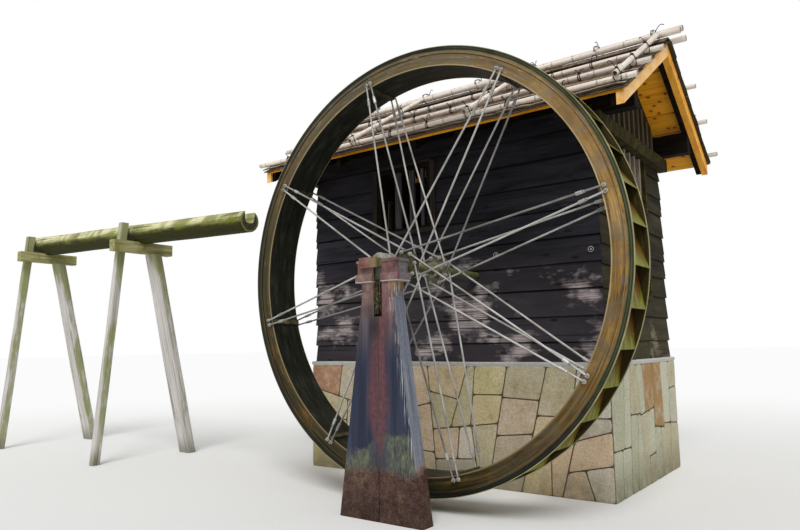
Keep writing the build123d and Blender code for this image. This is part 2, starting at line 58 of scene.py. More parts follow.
core_left = wall_low.x
core_right = wall_high.x
core_front = wall_low.y
core_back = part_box("back_wall")[1].y
hut_width = core_right - core_left
hut_depth = core_back - core_front
plinth_top = wall_low.z
wall_top = wall_high.z
plates_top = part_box("wall_plates")[1].z
ridge_y = (core_front + core_back) / 2
ridge_height = deck_high.z
roof_left = deck_low.x
roof_right = deck_high.x
wheel_radius = shroud_high.x
axle_height = (shroud_low.z + shroud_high.z) / 2
wheel_middle = (shroud_low.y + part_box("rear_shroud")[1].y) / 2
column_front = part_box("pedestal_column")[0].y

# Sizes of what this scene adds, in metres
roof_slope = radians(31.8)
cladding = 0.025
front_courses = (0.178, 0.22, 0.23, 0.223, 0.226, 0.245, 0.238, 0.232, 0.226)
gable_courses = (0.181, 0.233, 0.205, 0.2, 0.179, 0.255, 0.23, 0.181, 0.2)
board_lap = 0.03
collar_bottom = 0.122


# Colour and node helpers


def colour(red, green, blue):
    """A colour given as a screen writes it, turned into the linear values that shaders use."""

    def linear(value):
        share = value / 255
        return share / 12.92 if share <= 0.04045 else ((share + 0.055) / 1.055) ** 2.4

    return (linear(red), linear(green), linear(blue), 1.0)


class Value:
    """What a shader node gives out, with plain sums and the calls that most finishes need."""

    def __init__(self, tree, socket):
        self.tree = tree
        self.socket = socket

    def __add__(self, other):
        return self.tree.maths("ADD", self, other)

    def __sub__(self, other):
        return self.tree.maths("SUBTRACT", self, other)

    def __rsub__(self, other):
        return self.tree.maths("SUBTRACT", other, self)

    def __mul__(self, other):
        return self.tree.maths("MULTIPLY", self, other)

    def __truediv__(self, other):
        return self.tree.maths("DIVIDE", self, other)

    def __abs__(self):
        return self.tree.maths("ABSOLUTE", self)

    def split(self):
        """The three numbers of a place or a direction."""
        node = self.tree.nodes.new("ShaderNodeSeparateXYZ")
        self.tree.put(node.inputs[0], self)
        return [Value(self.tree, output) for output in node.outputs]

    def stretch(self, scale):
        """The same coordinates, multiplied along each axis."""
        return self.tree.make("Mapping", {"Vector": self, "Scale": scale}, "Vector")

    def noise(self, scale, detail=4.0, rough=0.6, twist=0.0):
        """Cloudy noise from 0 to 1, drawn out along the axes where scale has three numbers."""
        place = self
        if isinstance(scale, tuple):
            place = self.stretch(scale)
            scale = 1.0
        inputs = {"Vector": place, "Scale": scale, "Detail": detail, "Roughness": rough, "Distortion": twist}
        return self.tree.make("TexNoise", inputs, "Fac")

    def spots(self, scale):
        """Distance to the nearest of many scattered spots in the plane of a board."""
        inputs = {"Vector": self.stretch(scale), "Scale": 1.0}
        return self.tree.make("TexVoronoi", inputs, "Distance", voronoi_dimensions="2D")

    def rings(self, scale, twist, detail):
        """Growth rings about the X axis."""
        inputs = {"Vector": self, "Scale": scale, "Distortion": twist, "Detail": detail}
        return self.tree.make("TexWave", inputs, "Fac", wave_type="RINGS", rings_direction="X")

    def span(self, low, high, to_low=0.0, to_high=1.0):
        """Turns the range from low to high smoothly into the range from to_low to to_high."""
        inputs = enumerate((self, low, high, to_low, to_high))
        return self.tree.make("MapRange", inputs, "Result", interpolation_type="SMOOTHSTEP")

    def ramp(self, *stops):
        """A colour read from a row of (place, shade) stops."""
        node = self.tree.nodes.new("ShaderNodeValToRGB")
        self.tree.put(node.inputs["Fac"], self)
        elements = node.color_ramp.elements
        while len(elements) < len(stops):
            elements.new(0.5)
        for element, (place, shade) in zip(elements, stops):
            element.position = place
            element.color = colour(*shade)
        return Value(self.tree, node.outputs["Color"])

    def mix(self, other, share, blend="MIX"):
        """This colour with a share of another laid over it."""
        inputs = {0: share, 6: self, 7: other}
        return self.tree.make("Mix", inputs, 2, data_type="RGBA", blend_type=blend)

    def shaded(self, strength):
        """This colour made lighter or darker by one number."""
        return self.mix(self.tree.join(strength, strength, strength), 1.0, "MULTIPLY")

    def bump(self, depth, strength):
        """A surface raised by this share of a depth in metres."""
        return self.tree.make("Bump", {"Height": self, "Distance": depth, "Strength": strength}, "Normal")


class Tree:
    """A material with short calls for the nodes that every finish here needs."""

    def __init__(self, name, roughness=0.7, metallic=0.0, specular=0.5):
        self.material = bpy.data.materials.new(name)
        self.material.use_nodes = True
        self.nodes = self.material.node_tree.nodes
        self.links = self.material.node_tree.links
        self.shader = self.nodes["Principled BSDF"]
        self.shader.inputs["Roughness"].default_value = roughness
        self.shader.inputs["Metallic"].default_value = metallic
        self.shader.inputs["Specular IOR Level"].default_value = specular

    def put(self, socket, value):
        """Links a value to a socket, or writes a number, a scale or a colour on it."""
        if isinstance(value, Value):
            self.links.new(value.socket, socket)
        elif socket.type == "RGBA":
            socket.default_value = colour(*value)
        else:
            socket.default_value = value

    def make(self, kind, inputs=(), output=0, **settings):
        """Adds a node with its settings and inputs, and gives back one of its outputs."""
        node = self.nodes.new("ShaderNode" + kind)
        for setting, choice in settings.items():
            setattr(node, setting, choice)
        for key, value in dict(inputs).items():
            self.put(node.inputs[key], value)
        return Value(self, node.outputs[output])

    def maths(self, operation, *values):
        """One step of arithmetic on numbers and values."""
        return self.make("Math", enumerate(values), operation=operation)

    def place(self):
        """Coordinates of the piece itself, in metres."""
        return self.make("TexCoord", output="Object")

    def attribute(self, name, output="Fac"):
        """What the mesh holds under that name for each of its points."""
        return self.make("Attribute", output=output, attribute_name=name)

    def grain(self):
        """Coordinates along, across and out of each plank or stone."""
        return self.attribute("grain", "Vector")

    def tone(self):
        """A number from 0 to 1 for each plank or stone."""
        return self.attribute("tone")

    def join(self, x, y, z):
        """Three numbers as one place, direction or colour."""
        return self.make("CombineXYZ", enumerate((x, y, z)))

    def facing(self, axis, output="Normal"):
        """How far the surface faces along an axis of the frame, from -1 to 1."""
        return self.make("NewGeometry", output=output).split()["XYZ".index(axis)]

    def done(self, base, normal=None, rough=None):
        """Links the colour, the relief and the roughness to the shader."""
        for name, value in (("Base Color", base), ("Normal", normal), ("Roughness", rough)):
            if value is not None:
                self.put(self.shader.inputs[name], value)
        return self.material


# Mesh helpers


class Place:
    """A local frame with its own along, across and out directions."""

    def __init__(self, origin, along, across, out):
        self.origin = Vector(origin)
        self.along = Vector(along)
        self.across = Vector(across)
        self.out = Vector(out)

    def __call__(self, along, across, out):
        return self.origin + self.along * along + self.across * across + self.out * out

    def moved(self, along, across=0.0):
        """The same directions from another origin."""
        return Place(self(along, across, 0.0), self.along, self.across, self.out)


def side_place(side, low, high, level):
    """A frame on one side of an upright box, seen from outside: along it, up and out of it."""
    corner, along = {
        "front": ((low.x, low.y), (1, 0)),
        "right": ((high.x, low.y), (0, 1)),
        "back": ((high.x, high.y), (-1, 0)),
        "left": ((low.x, high.y), (0, -1)),
    }[side]
    return Place((*corner, level), (*along, 0), (0, 0, 1), (along[1], -along[0], 0))


class Batch:
    """Many like pieces in one mesh, each with a tone and with grain coordinates of its own."""

    def __init__(self):
        self.points = []
        self.faces = []
        self.tones = []
        self.grain = []
        self.shares = []
        self.smooth = []

    def add(self, points, faces, grain, tone=0.5, smooth=False, shares=None, flat=()):
        """Adds a piece, whose flat faces stay flat where the others are smooth."""
        start = len(self.points)
        self.points.extend(points)
        self.grain.extend(grain)
        self.shares.extend(shares or [0.5] * len(points))
        self.tones.extend([tone] * len(points))
        for group, shading in ((faces, smooth), (flat, False)):
            self.faces.extend([tuple(start + index for index in face) for face in group])
            self.smooth.extend([shading] * len(group))

    def build(self, name, material, body, slot, replaced=()):
        """Makes the mesh, puts it on its body and hides the CAD nodes that it stands for."""
        mesh = bpy.data.meshes.new(name)
        mesh.from_pydata([tuple(point) for point in self.points], [], self.faces)
        for attribute, values in (("tone", self.tones), ("share", self.shares)):
            mesh.attributes.new(attribute, "FLOAT", "POINT").data.foreach_set("value", values)
        grain = mesh.attributes.new("grain", "FLOAT_VECTOR", "POINT")
        grain.data.foreach_set("vector", [value for point in self.grain for value in point])
        mesh.polygons.foreach_set("use_smooth", self.smooth)
        shape = bmesh.new()
        shape.from_mesh(mesh)
        bmesh.ops.recalc_face_normals(shape, faces=shape.faces)
        shape.to_mesh(mesh)
        shape.free()
        mesh.materials.append(material)
        piece = bpy.data.objects.new(name, mesh)
        bpy.context.scene.collection.objects.link(piece)
        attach(piece, body)
        if replaced:
            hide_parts(*replaced)
        return piece


def fresh_grain():
    """A random offset, so that no two pieces show the same grain."""
    return Vector((random.uniform(0, 40), random.uniform(0, 40), random.uniform(0, 40)))


def full_turn(steps):
    """Angles once round, with the first one again at the end."""
    return [2 * pi * step / steps for step in range(steps + 1)]


def ring_faces(rings, count):
    """Faces between rings of count points, each ring joined to the next."""
    faces = []
    for low in range(0, (rings - 1) * count, count):
        for corner in range(count):
            after = (corner + 1) % count
            faces.append((low + corner, low + after, low + count + after, low + count + corner))
    return faces


def end_faces(rings, count):
    """The two faces that close the first ring and the last."""
    last = (rings - 1) * count
    return [tuple(range(count)), tuple(range(last, last + count))]


def sheet_faces(rows, columns):
    """Faces of a sheet with an upper and a lower layer of points, and of the rim between them."""
    row_length = columns + 1
    layer = row_length * (rows + 1)
    faces = []
    for row in range(rows):
        for column in range(columns):
            corner = row * row_length + column
            faces.append((corner, corner + 1, corner + row_length + 1, corner + row_length))
            other = corner + layer
            faces.append((other, other + row_length, other + row_length + 1, other + 1))
    rim = list(range(row_length))
    rim += [row * row_length + columns for row in range(1, rows + 1)]
    rim += [rows * row_length + column for column in range(columns - 1, -1, -1)]
    rim += [row * row_length for row in range(rows - 1, 0, -1)]
    for corner, after in zip(rim, rim[1:] + rim[:1]):
        faces.append((corner, corner + layer, after + layer, after))
    return faces


def plank(batch, place, length, section, tone=None, steps=1, wave=0.0, mitre=(0.0, 0.0), height=1.0):
    """Sweeps a section of (across, out) points along a plank, with uneven edges and mitred ends."""
    if tone is None:
        tone = random.random()
    shares = [across / height for across, out in section] * (steps + 1)
    shift = fresh_grain()
    points = []
    grain = []
    for step in range(steps + 1):
        share = step / steps
        for across, out in section:
            along = share * length - (1 - share) * out * mitre[0] + share * out * mitre[1]
            seed = Vector((along * 1.7 + shift.x, across * 4 + shift.y, out * 9 + shift.z))
            sway = wave * noise.noise(seed)
            bulge = 0.5 * wave * noise.noise(seed + Vector((7.3, 1.9, 4.1)))
            points.append(place(along, across + sway, out + bulge))
            grain.append((along + shift.x, across + shift.y, out + shift.z))
    rings = (steps + 1, len(section))
    batch.add(points, ring_faces(*rings) + end_faces(*rings), grain, tone, shares=shares)


def bar_section(width, thickness, chamfer):
    """A rectangle of that width and thickness, from its corner, with cut corners."""
    return [
        (chamfer, 0), (width - chamfer, 0), (width, chamfer), (width, thickness - chamfer),
        (width - chamfer, thickness), (chamfer, thickness), (0, thickness - chamfer), (0, chamfer),
    ]


def turned(batch, start, end, profile, sides=12, tone=None, bend=0.0, smooth=True, turn=0.0):
    """Turns (distance, radius) pairs about the line from start to end, which may bend a little."""
    if tone is None:
        tone = random.random()
    start = Vector(start)
    direction = (Vector(end) - start).normalized()
    helper = Vector((0, 0, 1)) if abs(direction.z) < 0.9 else Vector((1, 0, 0))
    side_a = direction.cross(helper).normalized()
    side_b = direction.cross(side_a)
    shift = fresh_grain()
    points = []
    grain = []
    for distance, radius in profile:
        centre = start + direction * distance
        if bend:
            centre += side_a * bend * noise.noise(Vector((distance * 0.9, shift.x, 0)))
            centre += side_b * bend * noise.noise(Vector((distance * 0.9, shift.y, 5)))
        for index in range(sides):
            angle = 2 * pi * index / sides + turn
            points.append(centre + side_a * radius * cos(angle) + side_b * radius * sin(angle))
            grain.append((distance + shift.x, radius * cos(angle) + shift.y, radius * sin(angle) + shift.z))
    rings = (len(profile), sides)
    batch.add(points, ring_faces(*rings), grain, tone, smooth, flat=end_faces(*rings))


def wire(batch, points, radius, sides=6):
    """A round wire along a list of points."""
    path = [Vector(point) for point in points]
    shift = fresh_grain()
    helper = Vector((0.31, 0.17, 0.94))
    surface = []
    grain = []
    travelled = 0.0
    for index, centre in enumerate(path):
        ahead = path[min(index + 1, len(path) - 1)]
        behind = path[max(index - 1, 0)]
        direction = (ahead - behind).normalized()
        helper = (helper - direction * helper.dot(direction)).normalized()
        side = direction.cross(helper)
        if index:
            travelled += (centre - behind).length
        for corner in range(sides):
            angle = 2 * pi * corner / sides
            surface.append(centre + helper * radius * cos(angle) + side * radius * sin(angle))
            grain.append((travelled + shift.x, shift.y + corner / sides, shift.z))
    rings = (len(path), sides)
    batch.add(surface, ring_faces(*rings) + end_faces(*rings), grain, smooth=True)


def bolt(batch, foot, direction, size, reach):
    """A hexagon nut with a washer under it and the end of its stud, size across the flats."""
    direction = Vector(direction).normalized()
    foot = Vector(foot)
    level = size * 0.14
    rim = size * 0.95
    turned(batch, foot, foot + direction, [(0, rim), (level, rim), (level, rim * 0.9)], 16, 0.6)
    nut = size * 0.62
    height = size * 0.8
    profile = [(level, nut * 0.93), (level + 0.1 * height, nut), (level + 0.88 * height, nut),
               (level + height, nut * 0.9)]
    turned(batch, foot, foot + direction, profile, 6, 0.4, smooth=False, turn=random.random())
    stud = size * 0.32
    top = level + height + reach * size
    profile = [(level, stud), (top - 0.1 * size, stud), (top, stud * 0.7)]
    turned(batch, foot, foot + direction, profile, 10, 0.3)


def finish_node(name, material):
    """Gives a CAD node its finish through its material slots."""
    piece = nodes[name]
    if not piece.material_slots:
        piece.data.materials.append(material)
    for slot in piece.material_slots:
        slot.material = material


# Materials


def dark_board_finish(name, stain, worn, bare, pale, bare_top):
    """Weathered boards: dark stain and long grain, pale patches low on the wall (worn wood and painted
    sunlight), painted shade near the roof and painted shadow under each lap.
    """
    tree = Tree(name, roughness=0.8, specular=0.06)
    grain = tree.grain()
    place = tree.place()
    height = place.split()[2]
    fibres = grain.noise((1.8, 60.0, 40.0), 6.0, 0.6, 0.3)
    broad = grain.noise((1.3, 7.0, 7.0), 4.0, 0.6, 0.5)
    patches = place.noise((2.4, 2.4, 4.0), 3.0, 0.6)
    base = broad.ramp((0.32, stain), (0.7, worn))
    base = base.mix(stain, fibres.span(0.52, 0.32, 0.0, 0.6))
    base = base.shaded(tree.tone().span(0.0, 1.0, 0.75, 1.2))
    # Darker towards the top of the wall: painted shade under the roof's overhang.
    base = base.shaded(height.span(plinth_top + 0.9, wall_top, 1.0, 0.72))
    low = height.span(bare_top - 0.6, bare_top, 1.0, 0.0)
    base = base.mix(bare, low * 0.2)
    # The pale patches low on the wall are partly worn wood and partly painted sunlight falling in patches.
    scuffs = place.noise((16.0, 16.0, 28.0), 5.0, 0.7)
    wear_and_sun_patches = scuffs * 0.3 + patches * 1.4 + low * 0.14
    wear_and_sun_patches = wear_and_sun_patches.span(0.99, 1.22) * low.span(0.0, 0.35)
    base = base.mix(fibres.ramp((0.36, bare), (0.6, pale)), wear_and_sun_patches * 0.85)
    knots = grain.spots((1.6, 5.0, 1.0))
    base = base.mix(stain, knots.span(0.04, 0.08, 0.8, 0.0))
    split = grain.noise((0.7, 50.0, 1.0), 2.0, 0.5).span(0.68, 0.71)
    base = base.mix(stain, split * 0.75)
    # Near-black at the top of each board's face: painted shadow under the lap of the board above.
    base = base.mix((8, 8, 8), tree.attribute("share").span(0.9, 0.99, 0.0, 0.9))
    relief = fibres + broad - split * 1.2
    return tree.done(base, relief.bump(0.0035, 0.8), fibres.span(0.3, 0.8, 0.66, 0.9))


def old_timber_finish(name, planks, light, mid, deep, green=0.0):
    """Dark timber, of planks with grain of their own or of CAD nodes, with a little green in its hollows."""
    tree = Tree(name, roughness=0.8, specular=0.05)
    grain = tree.grain() if planks else tree.place()
    fibres = grain.noise((2.0, 70.0, 70.0) if planks else (6.0, 14.0, 55.0), 5.0, 0.6, 0.5)
    patches = tree.place().noise(3.1, 4.0, 0.6)
    base = fibres.ramp((0.3, deep), (0.5, mid), (0.75, light))
    base = base.mix(mid, patches.span(0.42, 0.68, 0.0, 0.55))
    if green:
        moss = tree.place().noise(9.0, 5.0, 0.7)
        base = base.mix((82, 84, 36), moss.span(0.48, 0.62, 0.0, green))
    return tree.done(base, fibres.bump(0.003, 0.7))


def new_timber_finish(name, planks, light, mid, deep):
    """Fresh softwood: warm ochre with growth lines, and round dark knots in planks."""
    tree = Tree(name, roughness=0.55, specular=0.3)
    grain = tree.grain() if planks else tree.place()
    warped = grain.stretch((1.4, 26.0, 20.0) if planks else (20.0, 5.0, 9.0))
    lines = warped.noise(1.0, 3.0, 0.5, 0.8)
    fine = warped.noise(4.0, 3.0, 0.6)
    base = lines.ramp((0.22, deep), (0.5, mid), (0.8, light))
    base = base.mix(deep, fine.span(0.35, 0.7, 0.0, 0.25))
    if planks:
        knots = grain.spots((5.2, 7.5, 1.0))
        base = base.mix((170, 92, 16), knots.span(0.08, 0.2, 0.5, 0.0))
        base = base.mix((96, 36, 8), knots.span(0.06, 0.09, 0.95, 0.0))
        base = base.shaded(tree.tone().span(0.0, 1.0, 0.84, 1.08))
    return tree.done(base, lines.bump(0.0012, 0.5))


def stone_finish(name, tones, glaze, lichen_shade):
    """Flagstones: each face in one of a few tones, mottled, with iron stains, lichen and a damp foot."""
    tree = Tree(name, roughness=0.85, specular=0.25)
    grain = tree.grain()
    stops = [(index / len(tones), tone) for index, tone in enumerate(tones)]
    base = tree.tone().ramp(*stops)
    mottle = grain.noise(7.0, 6.0, 0.7)
    base = base.mix(glaze, mottle.span(0.44, 0.72, 0.0, 0.45))
    base = base.mix((134, 118, 92), mottle.span(0.46, 0.3, 0.0, 0.5))
    grit = grain.noise(60.0, 3.0, 0.7)
    base = base.shaded(grit.span(0.3, 0.7, 0.8, 1.14))
    rust = grain.noise(2.7, 4.0, 0.6)
    base = base.mix((186, 144, 100), rust.span(0.62, 0.78, 0.0, 0.35))
    lichen = grain.noise(19.0, 5.0, 0.7)
    base = base.mix(lichen_shade, lichen.span(0.58, 0.72, 0.0, 0.35))
    height = tree.place().split()[2]
    damp = height.span(0.0, 0.4, 0.7, 0.0) * mottle.span(0.3, 0.6, 0.3, 1.0)
    base = base.mix((92, 90, 62), damp)
    base = base.mix((80, 71, 56), tree.attribute("share").span(0.2, 0.6, 0.0, 0.75))
    relief = mottle + lichen * 0.4
    return tree.done(base, relief.bump(0.006, 0.8))


def mortar_finish(name, light, deep):
    """Sandy cement with darker damp stains."""
    tree = Tree(name, roughness=0.9, specular=0.2)
    place = tree.place()
    grit = place.noise(60.0, 4.0, 0.7)
    stain = place.noise(4.0, 4.0, 0.6)
    base = grit.ramp((0.3, deep), (0.6, light))
    base = base.mix(deep, stain.span(0.45, 0.7, 0.0, 0.5))
    return tree.done(base, grit.bump(0.003, 0.7))


def bark_finish():
    """Cedar bark: long red-brown fibres under a grey weathered skin, with moss in places and painted shade
    on faces that turn down.
    """
    tree = Tree("cedar_bark", roughness=0.9, specular=0.15)
    grain = tree.grain()
    fibres = grain.noise((70.0, 3.0, 30.0), 5.0, 0.65, 0.5)
    patches = grain.noise((5.0, 2.0, 3.0), 4.0, 0.6)
    base = fibres.ramp((0.28, (44, 30, 22)), (0.48, (86, 66, 52)), (0.7, (156, 134, 116)))
    base = base.mix((134, 120, 106), patches.span(0.46, 0.68, 0.0, 0.6))
    moss = tree.place().noise(6.0, 5.0, 0.7)
    shaded_end = tree.place().split()[0].span(roof_right - 0.5, roof_right, 0.0, 0.12)
    base = base.mix((98, 100, 62), (moss + shaded_end).span(0.56, 0.7, 0.0, 0.7))
    base = base.shaded(tree.tone().span(0.0, 1.0, 0.75, 1.2))
    torn = tree.attribute("share") + (fibres - 0.5) * 0.12
    base = base.mix((204, 176, 152), torn.span(0.9, 0.97, 0.0, 0.75))
    # Faces that turn down or outward at the sheets' edges are darkened: painted shade.
    underside_shade = tree.facing("Z", "True Normal").span(0.35, 0.1)
    base = base.mix((50, 43, 30), underside_shade * 0.85)
    return tree.done(base, fibres.bump(0.005, 0.9))


def bamboo_finish():
    """Weathered bamboo: bleached pinkish beige, brown at the nodes and mottled with mould."""
    tree = Tree("bamboo_skin", roughness=0.55, specular=0.3)
    grain = tree.grain()
    streaks = grain.noise((2.0, 120.0, 120.0), 4.0, 0.6)
    mottle = grain.noise(12.0, 5.0, 0.7)
    base = streaks.ramp((0.3, (204, 188, 170)), (0.5, (236, 226, 213)), (0.75, (248, 243, 235)))
    base = base.mix((176, 160, 146), mottle.span(0.55, 0.72, 0.0, 0.6))
    base = base.mix((128, 106, 90), mottle.span(0.4, 0.28, 0.0, 0.6))
    base = base.mix((92, 72, 60), tree.attribute("ring") * 0.7)
    base = base.shaded(tree.tone().span(0.0, 1.0, 0.85, 1.08))
    return tree.done(base, streaks.bump(0.0008, 0.6))


def wire_finish(name, shade, worn, rough):
    """Rope or a metal ring, with worn paler spots."""
    tree = Tree(name, roughness=rough, specular=0.2)
    return tree.done(tree.grain().noise(30.0, 3.0, 0.6).ramp((0.35, shade), (0.7, worn)))


def wheel_polar(tree):
    """Radius from the axle, its cosine and sine, and the place across the wheel."""
    x, y, z = tree.place().split()
    up = z - axle_height
    radius = tree.maths("SQRT", x * x + up * up)
    return radius, x / radius, up / radius, y


def shroud_face(tree, streak, blotch, dry_and_lit, sine):
    """The plates' face: slime from dark to ochre with stains and rust, paler and grey-smudged where it has
    dried, the paleness also painted light on the lit side.
    """
    dark = streak.ramp((0.3, (36, 34, 20)), (0.5, (66, 58, 30)), (0.72, (104, 92, 50)))
    light = streak.ramp(
        (0.28, (74, 54, 26)), (0.44, (134, 100, 48)), (0.6, (152, 122, 72)), (0.76, (176, 152, 114)))
    base = dark.mix(light, dry_and_lit.span(0.0, 1.15))
    stain = streak.span(0.52, 0.4) * blotch.span(0.46, 0.6)
    base = base.mix((52, 54, 46), stain * 0.75)
    rust = blotch.span(0.5, 0.36) * streak.span(0.44, 0.6)
    base = base.mix((148, 100, 38), rust * 0.6)
    smudge = tree.place().noise((3.0, 3.0, 7.0), 5.0, 0.65, 1.0)
    smudge = smudge.span(0.46, 0.6) * dry_and_lit.span(-0.2, 0.8)
    base = base.mix((108, 100, 84), smudge * 0.55)
    base = base.mix((132, 120, 98), sine.span(0.1, 0.9, 0.0, 0.3))
    return base.shaded(0.86)


def shroud_band(radius, streak, dry_and_lit):
    """The raised band at the rim: near-black where wet and in painted shade, olive where it has dried and in
    painted light, with two dark lines round it.
    """
    band = streak.ramp((0.3, (14, 14, 11)), (0.55, (30, 31, 26)), (0.8, (64, 68, 54)))
    olive = streak.ramp((0.3, (48, 52, 34)), (0.55, (78, 84, 54)), (0.8, (112, 118, 80)))
    band = band.mix(olive, dry_and_lit.span(0.3, 1.1, 0.0, 0.85))
    for inset in (0.012, 0.03):
        line = abs(radius - (wheel_radius - inset))
        band = band.mix((16, 16, 12), line.span(0.004, 0.0015, 0.0, 0.8))
    return band


def shroud_finish():
    """Shroud plates: slime drawn out along the turn, painted light on the right and painted shade on the
    left, a dark band near the rim and a lime rim.
    """
    tree = Tree("shroud_slime", roughness=0.5, specular=0.14)
    radius, cosine, sine, y = wheel_polar(tree)
    around = tree.join(cosine * 1.9, sine * 1.9, radius * 20.0)
    streak = around.noise(1.7, 6.0, 0.68, 0.6)
    fine = around.noise(6.0, 4.0, 0.6)
    blotch = tree.place().noise(4.2, 6.0, 0.7)
    # Highest on the right: the slime there has dried, and the same mask paints light on the right and shade
    # on the left.
    dry_and_lit = cosine + sine * 0.25 + (blotch - 0.5) * 1.4
    base = shroud_face(tree, streak, blotch, dry_and_lit, sine)
    inner = radius.span(wheel_radius - 0.146, wheel_radius - 0.152)
    base = base.mix((178, 160, 120), inner * 0.55)
    base = base.shaded(sine.span(-0.9, 0.3, 0.74, 1.0))
    # Brighter still on the right: painted light.
    base = base.shaded(dry_and_lit.span(0.75, 1.2, 1.0, 1.4))
    # A dark line round the step up to the band: painted shadow of the step.
    step_shadow = abs(radius - (wheel_radius - 0.064))
    base = base.mix((24, 20, 12), step_shadow.span(0.004, 0.001, 0.0, 0.75))
    glint = fine.span(0.62, 0.7) * sine.span(0.2, 0.95, 0.0, 0.55)
    base = base.mix((206, 190, 164), glint)
    edge = radius + (fine - 0.5) * 0.03
    on_band = edge.span(wheel_radius - 0.044, wheel_radius - 0.034)
    base = base.mix(shroud_band(radius, streak, dry_and_lit), on_band)
    rim = radius.span(wheel_radius - 0.006, wheel_radius - 0.003)
    lime = fine.ramp((0.35, (100, 100, 58)), (0.65, (172, 168, 124)))
    base = base.mix(lime, rim)
    inside = abs(y - wheel_middle).span(0.161, 0.158) * (1.0 - rim)
    under = streak.ramp((0.3, (24, 22, 12)), (0.55, (58, 48, 22)), (0.8, (92, 80, 36)))
    base = base.mix(under, inside)
    return tree.done(base, (streak + fine).bump(0.0015, 0.6), fine.span(0.3, 0.7, 0.3, 0.55))


def bucket_finish():
    """Buckets: algae at the lips, ochre slime below, near-black depths of wet slime and painted shade inside
    the buckets, and pale drops.
    """
    tree = Tree("bucket_slime", roughness=0.5, specular=0.1)
    radius = wheel_polar(tree)[0]
    flow = tree.place().noise((7.0, 24.0, 7.0), 5.0, 0.65)
    spot = tree.place().noise(38.0, 4.0, 0.65)
    depth = radius.span(wheel_radius - 0.16, wheel_radius) + (flow - 0.5) * 0.9
    # Darker towards the sole: wet slime, and painted shade inside the buckets.
    base = depth.ramp(
        (0.12, (24, 15, 8)), (0.5, (80, 48, 14)), (0.8, (102, 72, 20)),
        (0.93, (94, 90, 20)), (1.0, (118, 120, 32)))
    base = base.mix((204, 206, 184), spot.span(0.69, 0.72) * 0.5)
    return tree.done(base, flow.bump(0.003, 0.7))


def sole_finish():
    """Sole plate: wet dark slate and olive, drawn out along the turn."""
    tree = Tree("sole_slime", roughness=0.5, specular=0.14)
    flow = tree.place().noise((5.0, 26.0, 5.0), 5.0, 0.65)
    base = flow.ramp((0.3, (18, 18, 14)), (0.55, (38, 40, 32)), (0.8, (68, 68, 56)))
    return tree.done(base, flow.bump(0.002, 0.6))


def rod_finish():
    """Galvanised rods gone dull, some darker, with brown stains."""
    tree = Tree("rod_zinc", roughness=0.5, metallic=0.35, specular=0.4)
    grain = tree.grain()
    spots = grain.noise((6.0, 40.0, 40.0), 5.0, 0.65)
    base = spots.ramp((0.3, (132, 130, 124)), (0.55, (180, 178, 173)), (0.8, (208, 206, 202)))
    stain = grain.noise(2.2, 4.0, 0.6)
    base = base.mix((98, 90, 72), stain.span(0.52, 0.68, 0.0, 0.7))
    base = base.shaded(tree.tone().span(0.0, 0.6, 0.55, 1.0))
    return tree.done(base, spots.bump(0.0006, 0.5))


def hub_finish(name, deep, mid, light, slime_share):
    """Hub or shaft: wet iron under slime, with lime drips and painted shade on faces that turn down."""
    tree = Tree(name, roughness=0.55, metallic=0.1, specular=0.35)
    place = tree.place()
    rust = place.noise(24.0, 5.0, 0.68)
    slime = place.noise(13.0, 5.0, 0.7)
    base = rust.ramp((0.3, deep), (0.5, mid), (0.72, light))
    base = base.mix((92, 94, 44), slime.span(0.48, 0.64, 0.0, slime_share))
    base = base.mix((188, 184, 160), slime.span(0.64, 0.72, 0.0, 0.6))
    # Darker on faces that turn down: painted shade.
    base = base.shaded(tree.facing("Z").span(-0.8, 0.4, 0.5, 1.0))
    return tree.done(base, rust.bump(0.002, 0.8))


def head_rust(x, blotch):
    """Rust at the pedestal's head: red-brown with tan on the left, and redder on the right."""
    left = blotch.ramp((0.32, (90, 68, 64)), (0.5, (120, 95, 88)), (0.7, (150, 127, 116)))
    right = blotch.ramp((0.32, (82, 58, 58)), (0.5, (118, 86, 85)), (0.72, (142, 118, 118)))
    return left.mix(right, x.span(-0.02, 0.02))


def red_run(x, z, cloud, runs):
    """How much the rust run below the head covers the pedestal's front."""
    centre = z.span(1.15, 1.6, 0.0, 0.07)
    half_width = z.span(1.4, 0.95, 0.058, 0.095) * z.span(0.45, 0.85, 0.4, 1.0)
    away = abs(x - centre + (cloud - 0.5) * 0.09)
    share = (away / half_width).span(1.5, 0.3) * z.span(0.36, 0.6, 0.0, 0.92)
    return share * runs.span(0.34, 0.56, 0.7, 1.0)


def lichen_share(x, ragged, patches):
    """How much the lichen above the foot covers the front, least in the middle."""
    top = x.span(-0.1, 0.1, 0.55, 0.64)
    share = (top - ragged).span(0.0, 0.05) * abs(x).span(0.03, 0.12, 0.1, 0.8)
    return share * patches.span(0.34, 0.54, 0.35, 1.0)


def pedestal_side(place, scratch, ragged):
    """Side plates: brushed blue-grey with pale scratches, brown towards the foot."""
    lines = place.noise((1.0, 60.0, 1.6), 4.0, 0.6)
    side = lines.ramp((0.3, (84, 88, 100)), (0.5, (115, 120, 133)), (0.75, (150, 154, 164)))
    side = side.mix((200, 203, 208), scratch.span(0.56, 0.66) * 0.28)
    return side.mix((148, 116, 88), ragged.span(0.5, 0.3, 0.0, 0.8))


def pedestal_foot(z, patches, fine, grains):
    """The rough maroon foot, darker towards the ground."""
    foot = patches.ramp((0.32, (58, 40, 36)), (0.5, (86, 62, 54)), (0.7, (110, 90, 74)))
    foot = foot.mix((36, 25, 24), fine.span(0.5, 0.34, 0.0, 0.75))
    foot = foot.mix((30, 20, 19), grains.span(0.5, 0.38, 0.0, 0.6))
    foot = foot.mix((150, 130, 112), grains.span(0.58, 0.68, 0.0, 0.6))
    return foot.shaded(z.span(0.0, 0.3, 0.6, 1.0))


